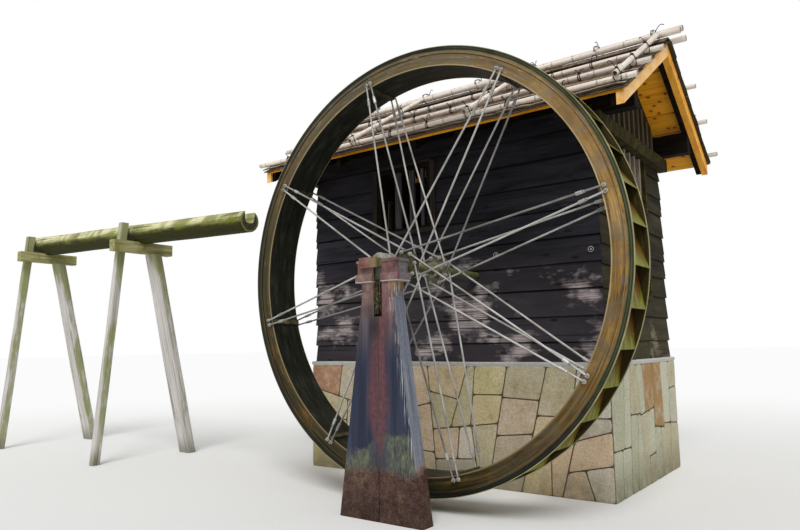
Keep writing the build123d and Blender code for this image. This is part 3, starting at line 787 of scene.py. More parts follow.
def pedestal_finish():
    """Pedestal plates: navy patina, rust below the head, lichen and a rough maroon foot."""
    tree = Tree("pedestal_patina", roughness=0.55, metallic=0.1, specular=0.15)
    place = tree.place()
    x, y, z = place.split()
    runs = place.noise((15.0, 15.0, 0.9), 4.0, 0.55, 0.3)
    cloud = place.noise((3.6, 3.6, 2.6), 5.0, 0.62)
    fine = place.noise(30.0, 6.0, 0.72)
    patches = place.noise(9.0, 5.0, 0.68)
    grains = place.noise(85.0, 4.0, 0.75)
    scratch = place.noise((190.0, 190.0, 4.0), 3.0, 0.6)
    streaked = place.noise((60.0, 60.0, 14.0), 5.0, 0.7)
    ragged = z + (cloud - 0.5) * 0.3 + (fine - 0.5) * 0.08
    front = runs.ramp((0.3, (32, 36, 50)), (0.5, (44, 49, 66)), (0.72, (62, 68, 86)))
    upper = runs.ramp((0.3, (58, 50, 56)), (0.5, (82, 73, 79)), (0.72, (112, 102, 105)))
    front = front.mix(upper, z.span(1.12, 1.45, 0.0, 0.85))
    rust = fine.ramp((0.3, (76, 46, 50)), (0.55, (104, 68, 70)), (0.8, (128, 94, 90)))
    front = front.mix(rust, red_run(x, z, cloud, runs))
    seam = abs(x).span(0.007, 0.003) * z.span(0.6, 0.95, 0.0, 0.7)
    front = front.mix((48, 30, 32), seam)
    below_slot = abs(x + 0.03).span(0.06, 0.03) * z.span(1.25, 1.42, 0.0, 0.8)
    front = front.mix((40, 36, 36), below_slot)
    head = head_rust(x, place.noise(12.0, 5.0, 0.65)).shaded(z.span(1.35, 1.6, 0.7, 0.95))
    front = front.mix(head, z.span(1.38, 1.64) * x.span(-0.03, 0.03, 0.6, 1.0))
    crust = streaked.ramp((0.36, (66, 71, 72)), (0.5, (94, 98, 80)), (0.66, (132, 136, 106)))
    front = front.mix(crust, lichen_share(x, ragged, patches))
    marks = scratch.span(0.53, 0.61) * (x + z * 0.16).span(0.33, 0.41)
    front = front.mix((206, 210, 214), marks * 0.9)
    flank = abs(tree.facing("X")).span(0.4, 0.8)
    base = front.mix(pedestal_side(place, scratch, ragged), flank)
    slot = abs(x).span(0.07, 0.06) * z.span(1.47, 1.49) * y.span(-0.06, -0.05)
    growth = fine.ramp((0.4, (20, 18, 14)), (0.62, (48, 46, 26)), (0.7, (132, 128, 98)))
    base = base.mix(growth, slot)
    foot_share = ragged.span(0.42, 0.32)
    base = base.mix(pedestal_foot(z, patches, fine, grains), foot_share)
    relief = runs + foot_share * (fine + grains) * 1.6
    return tree.done(base, relief.bump(0.0035, 0.7), fine.span(0.3, 0.7, 0.42, 0.66))


def cheek_finish():
    """Head of the pedestal: tan and purple-grey rust, pale lower arrises, lichen on the keeper plate."""
    tree = Tree("cheek_rust", roughness=0.65, metallic=0.05, specular=0.15)
    place = tree.place()
    x, y, z = place.split()
    blotch = place.noise(12.0, 5.0, 0.65)
    fine = place.noise(55.0, 4.0, 0.7)
    base = head_rust(x, blotch)
    base = base.shaded(z.span(cheeks_low.z + 0.1, cheeks_low.z + 0.14, 0.88, 1.0))
    base = base.shaded(z.span(cheeks_high.z - 0.1, cheeks_high.z, 1.0, 0.8))
    plain = fine.ramp((0.3, (84, 82, 86)), (0.7, (130, 127, 132)))
    base = base.mix(plain, y.span(-0.055, -0.045, 0.0, 0.8))
    inner = abs(x + 0.03).span(0.085, 0.08) * y.span(-0.055, -0.045)
    base = base.mix((28, 25, 18), inner * 0.9)
    drip = x.span(0.1, 0.13) * z.span(1.752, 1.748)
    ochre = drip * z.span(1.68, 1.72)
    base = base.mix((138, 108, 52), ochre * 0.85)
    lime = place.noise((130.0, 130.0, 10.0), 2.0, 0.5)
    base = base.mix((205, 203, 196), drip * lime.span(0.56, 0.62, 0.0, 0.9))
    keeper = blotch.ramp((0.32, (100, 68, 62)), (0.5, (130, 94, 84)), (0.7, (156, 124, 112)))
    keeper = keeper.mix((122, 122, 76), x.span(-0.07, -0.01) * fine.span(0.42, 0.56))
    on_keeper = x.span(0.012, 0.008) * z.span(1.85, 1.858)
    base = base.mix(keeper, on_keeper * y.span(-0.062, -0.066))
    base = base.mix((178, 176, 168), fine.span(0.62, 0.72, 0.0, 0.4))
    collar = cheeks_low.z + collar_bottom
    arris = z.span(collar + 0.008, collar + 0.004) * z.span(collar - 0.004, collar)
    base = base.mix((206, 200, 194), arris * 0.6)
    top = tree.facing("Z").span(0.5, 0.9) * blotch.span(0.4, 0.6, 0.0, 0.6)
    base = base.mix((126, 120, 88), top)
    return tree.done(base, (blotch + fine).bump(0.0025, 0.8))


def growth_finish():
    """Wet moss and roots: near-black brown with olive and pale dripping specks."""
    tree = Tree("slot_growth", roughness=0.6, specular=0.3)
    specks = tree.place().noise(90.0, 3.0, 0.6)
    base = specks.ramp(
        (0.4, (26, 20, 12)), (0.55, (62, 52, 24)), (0.66, (110, 98, 50)), (0.72, (190, 180, 150)))
    return tree.done(base, specks.bump(0.002, 0.8))


def bearing_finish():
    """Bearing and strap: pale lime-crusted iron above, dark and wet below the axle."""
    tree = Tree("bearing_iron", roughness=0.55, metallic=0.2, specular=0.35)
    place = tree.place()
    fine = place.noise(40.0, 5.0, 0.7)
    base = fine.ramp((0.3, (104, 102, 92)), (0.5, (152, 150, 138)), (0.75, (196, 192, 178)))
    wet = place.split()[2].span(axle_height + 0.02, axle_height - 0.02)
    base = base.mix((34, 34, 26), wet * 0.85)
    return tree.done(base, fine.bump(0.0015, 0.7))


def log_finish():
    """The flume log: furrowed bark under moss, painted light in pale bands on top and painted shade on the
    underside.
    """
    tree = Tree("log_moss", roughness=0.85, specular=0.2)
    place = tree.place()
    furrows = place.noise((2.0, 34.0, 34.0), 5.0, 0.62, 0.4)
    patches = place.noise(3.0, 5.0, 0.68)
    fine = place.noise(48.0, 5.0, 0.7)
    base = furrows.ramp((0.3, (64, 62, 30)), (0.5, (120, 117, 70)), (0.75, (168, 163, 120)))
    moss = fine.ramp((0.3, (60, 68, 10)), (0.55, (108, 118, 26)), (0.75, (154, 162, 58)))
    base = base.mix(moss, patches.span(0.4, 0.6, 0.25, 0.85))
    # Pale on the upper faces: painted light, broken into bands of painted shadow across the log.
    dapple_bands = place.noise((3.4, 1.2, 1.2), 3.0, 0.55, 0.6)
    pale = tree.facing("Z").span(-0.1, 0.5) * furrows.span(0.34, 0.5)
    pale = pale * dapple_bands.span(0.4, 0.58, 0.25, 1.0)
    base = base.mix((228, 224, 178), pale * 0.9)
    # Dark on faces that turn down: painted shade.
    under = (tree.facing("Z") + (patches - 0.5) * 1.2).span(0.2, -0.3)
    base = base.mix((40, 40, 12), under * 0.92)
    relief = furrows + fine * 0.6
    return tree.done(base, relief.bump(0.008, 0.8))


def end_grain_finish():
    """Sawn log end: wet wood, darkened further as painted shade, with faint growth rings inside a ring of
    bark.
    """
    tree = Tree("end_grain", roughness=0.6, specular=0.35)
    grain = tree.grain()
    across, rise = grain.split()[1:]
    radius = tree.maths("SQRT", across * across + rise * rise)
    lines = grain.rings(26.0, 2.5, 3.0)
    fine = tree.place().noise(40.0, 4.0, 0.7)
    # The dark shades stand partly for wet wood and partly for painted shade on the log's end.
    base = lines.ramp((0.2, (46, 47, 32)), (0.6, (76, 78, 56)), (0.9, (98, 98, 74)))
    base = base.mix((34, 34, 22), fine.span(0.45, 0.7, 0.0, 0.7))
    base = base.mix((126, 126, 86), radius.span(0.094, 0.1))
    return tree.done(base, fine.bump(0.002, 0.6))


def trestle_finish():
    """Trestle posts: silver-grey weathered wood, green algae on the damp side and dark checks."""
    tree = Tree("trestle_grey", roughness=0.8, specular=0.2)
    grain = tree.grain()
    fibres = grain.noise((1.6, 60.0, 60.0), 5.0, 0.62, 0.4)
    base = fibres.ramp((0.28, (146, 140, 132)), (0.5, (198, 194, 189)), (0.75, (224, 221, 217)))
    patches = tree.place().noise((6.0, 6.0, 1.8), 5.0, 0.65)
    height = tree.place().split()[2]
    share = patches + height.span(1.9, 2.5, 0.0, 0.22) + tree.facing("X") * 0.16
    base = base.mix((134, 140, 76), share.span(0.56, 0.76, 0.0, 0.8))
    base = base.mix((84, 84, 52), height.span(0.25, 0.0, 0.0, 0.6))
    checks = grain.noise((0.8, 42.0, 42.0), 2.0, 0.5).span(0.66, 0.7)
    base = base.mix((60, 52, 44), checks * 0.75)
    return tree.done(base, (fibres - checks).bump(0.004, 0.8))


def beam_finish():
    """Cross-beams in plain object coordinates: grey wood under green algae."""
    tree = Tree("beam_wood", roughness=0.8, specular=0.25)
    place = tree.place()
    fibres = place.noise((40.0, 2.0, 40.0), 5.0, 0.62, 0.4)
    base = fibres.ramp((0.28, (94, 89, 56)), (0.5, (154, 150, 100)), (0.75, (200, 196, 152)))
    patches = place.noise(7.0, 5.0, 0.65)
    base = base.mix((118, 120, 50), patches.span(0.46, 0.66, 0.0, 0.7))
    return tree.done(base, fibres.bump(0.004, 0.8))


front_board_wood = dark_board_finish(
    "front_board_wood", (23, 24, 28), (52, 50, 56), (104, 95, 98), (206, 192, 190), plinth_top + 1.1)
gable_board_wood = dark_board_finish(
    "gable_board_wood", (24, 21, 13), (62, 56, 34), (96, 88, 66), (142, 134, 112), plinth_top + 0.7)
frame_wood = old_timber_finish("made_frame_wood", True, (74, 66, 60), (46, 40, 36), (24, 21, 19))
bar_wood = old_timber_finish("made_bar_wood", True, (96, 91, 95), (66, 61, 65), (36, 32, 35))
slat_wood = old_timber_finish("made_slat_wood", True, (176, 166, 154), (134, 122, 108), (76, 66, 54), 0.1)
# The battens get a darker copy of the slat wood: painted shade at the top of the gable under the roof.
shaded_batten_wood = old_timber_finish("made_batten_wood", True, (112, 100, 82), (82, 72, 56), (46, 40, 30), 0.1)
tie_wood = old_timber_finish("tie_wood", False, (68, 60, 32), (46, 39, 20), (25, 21, 11), 0.35)
roof_wood = old_timber_finish("roof_wood", False, (36, 29, 22), (21, 17, 13), (10, 9, 7))
wall_wood = old_timber_finish("wall_wood", False, (78, 66, 50), (54, 45, 34), (32, 27, 20))
deck_wood = new_timber_finish("deck_wood", True, (246, 180, 40), (232, 158, 20), (200, 126, 10))
verge_wood = new_timber_finish("verge_wood", False, (248, 194, 90), (238, 168, 52), (212, 134, 24))
# The front bargeboards get a paler copy of the verge wood: painted light on them.
lit_verge_wood = new_timber_finish(
    "lit_verge_wood", False, (252, 219, 154), (246, 196, 120), (228, 162, 80))
front_tones = (
    (214, 204, 186), (176, 164, 142), (208, 182, 150), (196, 184, 134), (172, 162, 142), (218, 214, 202),
    # The last tone is the reddish stone at the left of the front: its hue is its own, its darkness partly
    # painted shade.
    (164, 122, 94),
)
side_tones = (
    (184, 184, 160), (192, 191, 170), (174, 173, 146), (194, 190, 172), (180, 170, 140), (188, 188, 166),
    (158, 124, 78),
)
front_stone = stone_finish("front_flagstone", front_tones, (216, 208, 190), (166, 162, 126))
side_stone = stone_finish("side_flagstone", side_tones, (200, 200, 182), (162, 168, 132))
joint_mortar = mortar_finish("joint_mortar", (106, 94, 76), (66, 57, 45))
cement = mortar_finish("ledge_cement", (198, 198, 192), (168, 166, 156))
bark = bark_finish()
bamboo_skin = bamboo_finish()
tie_rope = wire_finish("tie_rope", (24, 19, 18), (35, 28, 27), 0.8)
ring_metal = wire_finish("ring_metal", (140, 138, 134), (183, 180, 175), 0.5)
shroud_slime = shroud_finish()
bucket_slime = bucket_finish()
sole_slime = sole_finish()
rod_zinc = rod_finish()
hub_iron = hub_finish("hub_iron", (34, 32, 22), (66, 60, 40), (112, 104, 78), 0.7)
rear_hub_iron = hub_finish("rear_hub_iron", (70, 66, 52), (124, 118, 98), (168, 162, 142), 0.45)
shaft_moss = hub_finish("shaft_moss", (62, 64, 34), (104, 106, 64), (146, 146, 104), 0.6)
pedestal_patina = pedestal_finish()
cheek_rust = cheek_finish()
slot_growth = growth_finish()
bearing_iron = bearing_finish()
log_moss = log_finish()
end_grain = end_grain_finish()
trestle_grey = trestle_finish()
beam_wood = beam_finish()


# Finishes of the CAD nodes that stay

node_finishes = (
    (shroud_slime, "front_shroud rear_shroud"),
    (bucket_slime, "buckets"),
    (sole_slime, "sole_plate"),
    (hub_iron, "rim_tie_bars front_hub"),
    (rear_hub_iron, "rear_hub"),
    (shaft_moss, "wheel_shaft"),
    (pedestal_patina, "pedestal_column"),
    (cheek_rust, "bearing_cheeks"),
    (bearing_iron, "front_bearing wall_bearing"),
    (wall_wood, "front_wall back_wall right_gable_wall left_gable_wall"),
    (joint_mortar, "plinth_front plinth_back plinth_left plinth_right"),
    (roof_wood, "wall_plates ridge_beam rafters window_frames"),
    (tie_wood, "tie_beams lattice_frames"),
    (lit_verge_wood, "front_bargeboards"),
    (verge_wood, "back_bargeboards"),
    (beam_wood, "trestle_beams"),
)
for material, names in node_finishes:
    for name in names.split():
        finish_node(name, material)


# Moss and roots that hang in the pedestal's slot under the dripping shaft

slot_moss = Batch()
slot_middle = -0.03
slot_half = 0.036
slot_foot = 1.5
strand_count = 46
strand_steps = 6
for index in range(strand_count):
    x = slot_middle + random.uniform(-slot_half, slot_half)
    top = random.uniform(1.6, 1.82)
    length = min(random.uniform(0.07, 0.26), top - slot_foot)
    foot_x = x + random.uniform(-0.006, 0.006)
    y = column_front + random.uniform(0.02, 0.04)
    profile = []
    for step in range(strand_steps + 1):
        share = step / strand_steps
        thick = 0.0065 * sin(pi * min(1.0, 0.12 + share)) + 0.0015
        uneven = 1 + 0.5 * noise.noise(Vector((index, share * strand_steps, 0)))
        profile.append((length * share, thick * uneven))
    turned(slot_moss, (foot_x, y, top - length), (x, y, top), profile, 7, bend=0.006)
slot_moss.build("slot_moss_strands", slot_growth, "root", "bearing_iron")


# Cladding: lapped boards on the four walls, cut round the windows


def lapped_section(height, lap, thick):
    """A clapboard's section: thick lower edge standing out, thin upper edge under the next board."""
    slope = 0.7 * thick / (height + lap)
    shadow = height - 0.022
    return [
        (0, 0.34 * thick), (0, thick), (shadow, thick - slope * shadow), (height, thick - slope * height),
        (height + lap, 0.3 * thick), (height + lap, 0),
    ]


def clad_wall(batch, place, width, top, hole, courses, notch=None):
    """Lays boards up a wall round a hole (left, right, low, high), with square ends above a notch."""
    hole_left, hole_right, hole_low, hole_high = hole
    low = 0.0
    for course in courses + courses:
        if low > top - 0.02:
            break
        height = min(course, top - low)
        cuts = [(0.0, width)]
        if hole_low < low + 0.5 * height < hole_high:
            cuts = [(0.0, hole_left), (hole_right, width)]
        lap = board_lap if low + height < top - 0.02 else 0.0
        for left, right in cuts:
            mitre = [1.0 if left == 0.0 else 0.0, 1.0 if right == width else 0.0]
            if notch and low + height > notch:
                mitre = [0.0, 0.0]
            section = lapped_section(height, lap, cladding - random.uniform(0.0, 0.003))
            start = place.moved(left + 0.001, low + random.uniform(-0.003, 0.003))
            length = right - left - 0.002
            steps = max(2, int((right - left) / 0.16))
            plank(batch, start, length, section, steps=steps, wave=0.004, mitre=mitre, height=height)
        low += height


board_top = plates_top - plinth_top - 0.11
tie_notch = tie_low.z - plinth_top
hut_low = Vector((core_left, core_front))
hut_high = Vector((core_right, core_back))
window_rise = (window_low.z - plinth_top, window_high.z - plinth_top)
lattice_rise = (lattice_low.z - plinth_top, lattice_high.z - plinth_top)
lattice_hole = (lattice_low.y - core_front, lattice_high.y - core_front, *lattice_rise)
window_hole = (window_low.x - core_left, window_high.x - core_left, *window_rise)
back_window_hole = (core_right - window_high.x, core_right - window_low.x, *window_rise)
for side, hole in (("front", window_hole), ("back", back_window_hole)):
    boards = Batch()
    place = side_place(side, hut_low, hut_high, plinth_top)
    clad_wall(boards, place, hut_width, board_top, hole, front_courses, tie_notch)
    boards.build(side + "_cladding", front_board_wood, "root", "wall_timber")
for side in ("right", "left"):
    boards = Batch()
    place = side_place(side, hut_low, hut_high, plinth_top)
    clad_wall(boards, place, hut_depth, tie_notch, lattice_hole, gable_courses)
    boards.build(side + "_cladding", gable_board_wood, "root", "wall_timber")


# Gable battens over the tie beams, lattice slats, and bars in the front and back windows

batten_pitch = 0.15
batten_width = 0.04
frame_inset = 0.05
window_bars = ((0.36, 0.07), (0.66, 0.06), (0.88, 0.035))


def gable_details(name, face, side, slat_count, slat_pitch, slat_width):
    """Upright battens above the tie beam and slats in the lattice window of one gable."""
    battens = Batch()
    batten = bar_section(batten_width, 0.024, 0.003)
    count = int(hut_depth / 2 / batten_pitch)
    for index in range(-count, count + 1):
        y = ridge_y + index * batten_pitch
        top = ridge_height - abs(y - ridge_y) * tan(roof_slope) - 0.15
        if top - tie_high.z > 0.08:
            place = Place((face, y - batten_width / 2, tie_high.z), (0, 0, 1), (0, 1, 0), (side, 0, 0))
            plank(battens, place, top - tie_high.z, batten, steps=3, wave=0.002)
    battens.build(name + "_battens", shaded_batten_wood, "root", "frame_timber")
    slats = Batch()
    slat = bar_section(slat_width, 0.04, 0.003)
    height = tie_low.z - lattice_low.z - 0.052
    for index in range(slat_count):
        y = ridge_y + (index - (slat_count - 1) / 2) * slat_pitch
        start = (face - side * 0.03, y - slat_width / 2, lattice_low.z + frame_inset)
        plank(slats, Place(start, (0, 0, 1), (0, 1, 0), (side, 0, 0)), height, slat, steps=6, wave=0.003)
    slats.build(name + "_lattice_slats", slat_wood, "root", "frame_timber")


gable_details("right", core_right, 1, 5, 0.15, 0.04)
gable_details("left", core_left, -1, 6, 0.143, 0.05)


def window_details(name, face, facing):
    """Three upright bars of unlike width in a window, with a sill and two jambs round it."""
    bars = Batch()
    bar_height = window_high.z - window_low.z - 2 * frame_inset
    clear_left = window_low.x + frame_inset
    clear_width = window_high.x - window_low.x - 2 * frame_inset
    for share, width in window_bars:
        left = clear_left + clear_width * share - width / 2
        start = (left, face - facing * 0.03, window_low.z + frame_inset)
        place = Place(start, (0, 0, 1), (1, 0, 0), (0, facing, 0))
        plank(bars, place, bar_height, bar_section(width, 0.03, 0.003), steps=4, wave=0.003)
    trim = Batch()
    place = Place((window_low.x - 0.05, face, window_low.z - 0.02), (1, 0, 0), (0, 0, 1), (0, facing, 0))
    sill_length = window_high.x - window_low.x + 0.1
    plank(trim, place, sill_length, bar_section(0.045, 0.05, 0.004), steps=3, wave=0.002)
    jamb_height = window_high.z - window_low.z - 0.02
    for x in (window_low.x - 0.055, window_high.x - 0.005):
        place = Place((x, face, window_low.z + 0.025), (0, 0, 1), (1, 0, 0), (0, facing, 0))
        plank(trim, place, jamb_height, bar_section(0.06, 0.036, 0.004), steps=3, wave=0.002)
    bars.build(name + "_bars", bar_wood, "root", "frame_timber")
    trim.build(name + "_trim", frame_wood, "root", "frame_timber")


window_details("front_window", core_front, -1)
window_details("back_window", core_back, 1)

wall_rings = Batch()
wall_ring_places = ((0.226, 2.079), (1.12, 2.047))
wall_ring_radius = 0.022
wall_ring_wire = 0.004
board_face = core_front - cladding
for x, z in wall_ring_places:
    loop = []
    for angle in full_turn(20):
        across = wall_ring_radius * cos(angle)
        loop.append((x + across, board_face - wall_ring_wire, z + wall_ring_radius * sin(angle)))
    wire(wall_rings, loop, wall_ring_wire, sides=8)
    bolt(wall_rings, (x, board_face, z), (0, -1, 0), 0.01, 0.2)
wall_rings.build("wall_rings", ring_metal, "root", "rod_steel")


# Plinth: irregular flagstones set in mortar, and a mortar ledge along the top

stone_area = 0.15
stone_corner = 0.034
stone_joint = 0.009
stone_steps = ((0.0, -0.004), (0.0, 0.55), (0.004, 0.9), (0.014, 1.0))
ledge = 0.034
ledge_section = (
    (0, -0.03), (0, 0.006), (ledge - 0.006, 0.014), (ledge + 0.004, 0.006), (ledge + 0.01, -0.05),
)


def clip(polygon, point, normal):
    """The part of a convex polygon on the inner side of a line."""
    kept = []
    for index, corner in enumerate(polygon):
        after = polygon[(index + 1) % len(polygon)]
        here = (corner - point).dot(normal)
        there = (after - point).dot(normal)
        if here <= 0:
            kept.append(corner)
        if (here < 0 < there) or (there < 0 < here):
            kept.append(corner.lerp(after, here / (here - there)))
    return kept


def stone_cells(cell, upright):
    """Cuts a piece of wall in two, a little aslant, again and again until the stones are small enough."""
    low = Vector((min(corner.x for corner in cell), min(corner.y for corner in cell)))
    high = Vector((max(corner.x for corner in cell), max(corner.y for corner in cell)))
    size = high - low
    if size.x * size.y < stone_area * random.uniform(0.75, 1.7):
        yield cell
        return
    tall = size.y > size.x * upright
    share = random.uniform(0.36, 0.64)
    turn = random.uniform(-0.34, 0.34) / upright
    point = Vector((low.x + share * size.x, low.y + share * size.y))
    normal = Vector((sin(turn), cos(turn))) if tall else Vector((cos(turn), sin(turn)))
    yield from stone_cells(clip(cell, point - normal * stone_joint / 2, normal), upright)
    yield from stone_cells(clip(cell, point + normal * stone_joint / 2, -normal), upright)


def rounded_outline(cell):
    """Rounds a polygon's corners with three points each and adds a point on every edge."""
    points = []
    for index, corner in enumerate(cell):
        before = cell[index - 1]
        after = cell[(index + 1) % len(cell)]
        reach = min(stone_corner, 0.4 * (corner - before).length, 0.4 * (after - corner).length)
        points.append(corner + (before - corner).normalized() * reach)
        points.append(corner + (before + after - 2 * corner).normalized() * reach * 0.25)
        points.append(corner + (after - corner).normalized() * reach)
        points.append(corner.lerp(after, random.uniform(0.45, 0.55)))
    return points


def inside(spot, cell):
    """Whether a spot lies in a convex polygon whose corners run anticlockwise."""
    for index, corner in enumerate(cell):
        edge = cell[(index + 1) % len(cell)] - corner
        if edge.cross(spot - corner) < 0:
            return False
    return True


def lay_stones(batch, place, width, height, upright, accents):
    """Fills a wall face with flagstones that stand a little proud of the mortar."""
    whole = [Vector((0, 0)), Vector((width, 0)), Vector((width, height)), Vector((0, height))]
    for cell in stone_cells(whole, upright):
        outline = rounded_outline(cell)
        centre = sum(outline, Vector((0, 0))) / len(outline)
        tone = random.uniform(0.0, 0.7)
        for along, up, accent in accents:
            if inside(Vector((along, up)), cell):
                tone = accent
        shift = fresh_grain()
        proud = random.uniform(0.007, 0.012)
        tilt = Vector((random.uniform(-0.008, 0.008), random.uniform(-0.008, 0.008)))
        points = []
        grain = []
        shares = []
        for inset, level in stone_steps:
            shares.extend([1.0 - level] * len(outline))
            for spot in outline:
                to_centre = centre - spot
                rough = 0.004 * noise.noise(Vector((spot.x * 14, spot.y * 14, shift.z)))
                moved = spot + to_centre.normalized() * (inset + (rough if inset else 0.0))
                out = level * proud + tilt.dot(spot - centre) * max(level, 0.0)
                points.append(place(moved.x, moved.y, out))
                grain.append((moved.x + shift.x, moved.y + shift.y, out + shift.z))
        rings = (len(stone_steps), len(outline))
        batch.add(points, ring_faces(*rings) + end_faces(*rings), grain, tone, shares=shares)


stone_top = plinth_top - ledge
plinth_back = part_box("plinth_back")[1]
plinth_width = plinth_high.x - plinth_low.x
plinth_depth = plinth_back.y - plinth_low.y
plinth_sides = (
    ("front", plinth_width, front_stone, 1.0, ((0.06, 0.9, 0.97),)),
    ("right", plinth_depth, side_stone, 2.2, ((1.05, 0.72, 0.97), (1.2, 0.95, 0.95))),
    ("back", plinth_width, front_stone, 1.0, ()),
    ("left", plinth_depth, side_stone, 2.2, ()),
)
ledges = Batch()
for side, width, stone, upright, accents in plinth_sides:
    stones = Batch()
    place = side_place(side, plinth_low, plinth_back, 0)
    lay_stones(stones, place, width, stone_top, upright, accents)
    stones.build(side + "_flagstones", stone, "root", "stone")
    plank(ledges, place.moved(0, stone_top), width, ledge_section, 0.5, steps=24, wave=0.004, mitre=(1, 1))
ledges.build("plinth_ledge", cement, "root", "stone")


# Roof: deck boards, layers of bark, and the bark cap over the ridge

slope_length = (ridge_y - deck_low.y) / cos(roof_slope)
deck_thickness = 0.022
board_count = 6
board_groove = 0.009
bark_overhang = 0.03
bark_thickness = 0.045
bark_courses = 4
bark_tear = 0.012
course_lap = 0.16
sheet_lap = 0.03
# The least and the greatest width of a sheet, and the least that may be left for the last one
sheet_widths = (0.26, 0.5, 0.15)
cap_widths = (0.4, 0.6, 0.2)
cap_half = 0.23
cap_steps = 12


def slope_place(side):
    """A frame on one slope: along X, across down the slope from the ridge, out of the deck's top."""
    down = (0, side * cos(roof_slope), -sin(roof_slope))
    out = (0, side * sin(roof_slope), cos(roof_slope))
    return Place((0, ridge_y, ridge_height), (1, 0, 0), down, out)


def deck_boards(side, name, node):
    """Boards along the roof with V-grooves between them, butted end to end at a random place."""
    boards = Batch()
    eave_cut = deck_thickness * tan(roof_slope)
    pitch = slope_length / board_count
    place = slope_place(side)
    for index in range(board_count):
        low = 0.002 + index * pitch
        high = low + pitch - 0.003
        joint = random.uniform(0.35, 0.65) * (roof_right - roof_left)
        top_edge = [(low, 0), (high, 0)]
        ridge_side = [(low + board_groove, -deck_thickness), (low, board_groove - deck_thickness)]
        eave_side = [(high, board_groove - deck_thickness), (high - board_groove, -deck_thickness)]
        if index == 0:
            ridge_side = [(low + eave_cut, -deck_thickness)]
        if index == board_count - 1:
            eave_side = [(high + eave_cut, -deck_thickness)]
        section = top_edge + eave_side + ridge_side
        plank(boards, place.moved(roof_left), joint - 0.001, section, steps=4)
        rest = roof_right - roof_left - joint - 0.001
        plank(boards, place.moved(roof_left + joint + 0.001), rest, section, steps=4)
    boards.build(name, deck_wood, "root", "new_timber", (node,))


def bark_sheet(batch, place, x, width, top, length, low_level, top_level, thickness):
    """One sheet of bark: ribbed along the slope, cupped across, torn at its lower edge."""
    across_steps = max(5, int(width / 0.035))
    down_steps = max(5, int(length / 0.05))
    shift = fresh_grain()
    tone = random.random()
    points = []
    grain = []
    shares = []
    for layer in (1, 0):
        for row in range(down_steps + 1):
            share = row / down_steps
            shares.extend([share] * (across_steps + 1))
            for column in range(across_steps + 1):
                along = x + width * column / across_steps
                tear = 0.0
                if row == down_steps:
                    coarse = noise.noise(Vector((along * 17, shift.x, 0)))
                    tear = bark_tear * (0.5 + coarse + 0.6 * noise.noise(Vector((along * 61, shift.y, 0))))
                if row == 0:
                    tear = -0.3 * bark_tear * noise.noise(Vector((along * 17, shift.z, 3)))
                down = top + length * share - tear
                edge = abs(2 * column / across_steps - 1)
                level = top_level + (low_level - top_level) * share
                ribs = 0.003 * noise.noise(Vector((along * 42, down * 1.6, shift.z)))
                swell = 0.005 * noise.noise(Vector((along * 5, down * 3, shift.y)))
                cup = 0.004 * edge ** 4
                out = level + ribs + swell - cup + layer * thickness * (1 - 0.35 * edge ** 6)
                sway = 0.0
                if column in (0, across_steps):
                    sway = 0.012 * noise.noise(Vector((down * 5, shift.x, 4)))
                points.append(place(along + sway, down, max(out, 0.0005)))
                grain.append((along + shift.x, down + shift.y, out + shift.z))
    batch.add(points, sheet_faces(down_steps, across_steps), grain, tone, True, shares)


def random_widths(left, right, narrow, wide, least):
    """Places and widths of the sheets in a row; the last takes what is left when that is little."""
    x = left
    while x < right - 0.02:
        width = min(random.uniform(narrow, wide), right - x)
        if right - x - width < least:
            width = right - x
        yield x, width
        x += width


def bark_slope(side, name, node):
    """Two under-layers at the eave and the courses of bark sheets of one slope."""
    sheets = Batch()
    place = slope_place(side)
    left = roof_left - bark_overhang
    right = roof_right + bark_overhang
    bottom = slope_length + bark_overhang / cos(roof_slope)
    exposure = bottom / bark_courses
    # Each layer has its top, its lower edge, the levels of the two, and its thickness
    layers = [
        (bottom - 0.3, bottom - 0.004, 0.001, 0.0, 0.012),
        (bottom - 0.32, bottom - 0.012, 0.001, 0.011, 0.011),
    ]
    for course in range(bark_courses):
        low_edge = exposure * (course + 1)
        layers.append((max(0.0, low_edge - exposure - course_lap), low_edge, 0.01, 0.03, 0.014))
    for top, low_edge, top_level, level, thickness in layers:
        for x, width in random_widths(left, right, *sheet_widths):
            wide = min(width + sheet_lap, right - x)
            low_level = level + random.uniform(0, 0.004)
            bark_sheet(sheets, place, x, wide, top, low_edge - top, low_level, top_level, thickness)
    sheets.build(name, bark, "root", "bark", (node,))


def ridge_cap():
    """Short sheets of bark bent over the ridge."""
    caps = Batch()
    left = roof_left - bark_overhang
    right = roof_right + bark_overhang
    for x, width in random_widths(left, right, *cap_widths):
        shift = fresh_grain()
        columns = max(6, int(width / 0.04))
        points = []
        grain = []
        lift = random.uniform(0.0, 0.004)
        for layer in (1, 0):
            for row in range(cap_steps + 1):
                run = (2 * row / cap_steps - 1) * cap_half
                for column in range(columns + 1):
                    along = min(x + (width + 0.02) * column / columns, right)
                    reach = run
                    if row in (0, cap_steps):
                        reach += 0.012 * noise.noise(Vector((along * 15, shift.x, row)))
                    side = 1 if reach >= 0 else -1
                    rib = 0.0025 * noise.noise(Vector((along * 40, reach * 3, shift.z)))
                    level = bark_thickness + lift + rib + layer * 0.014
                    round_off = 0.02 * max(0.0, 1 - abs(reach) / 0.05) ** 2
                    spot = slope_place(side)(along, abs(reach), level)
                    points.append(spot - Vector((0, 0, round_off)))
                    grain.append((along + shift.x, reach + shift.y, level + shift.z))
        caps.add(points, sheet_faces(cap_steps, columns), grain, random.random(), True)
    caps.build("ridge_bark_cap", bark, "root", "bark", ("ridge_cover",))


deck_boards(-1, "front_deck_boards", "front_roof_deck")
deck_boards(1, "back_deck_boards", "back_roof_deck")
bark_slope(-1, "front_bark_sheets", "front_roof_bark")
bark_slope(1, "back_bark_sheets", "back_roof_bark")
ridge_cap()


# Bamboo on the roof: rails, poles down the slope, ridge poles, and the ropes that tie them

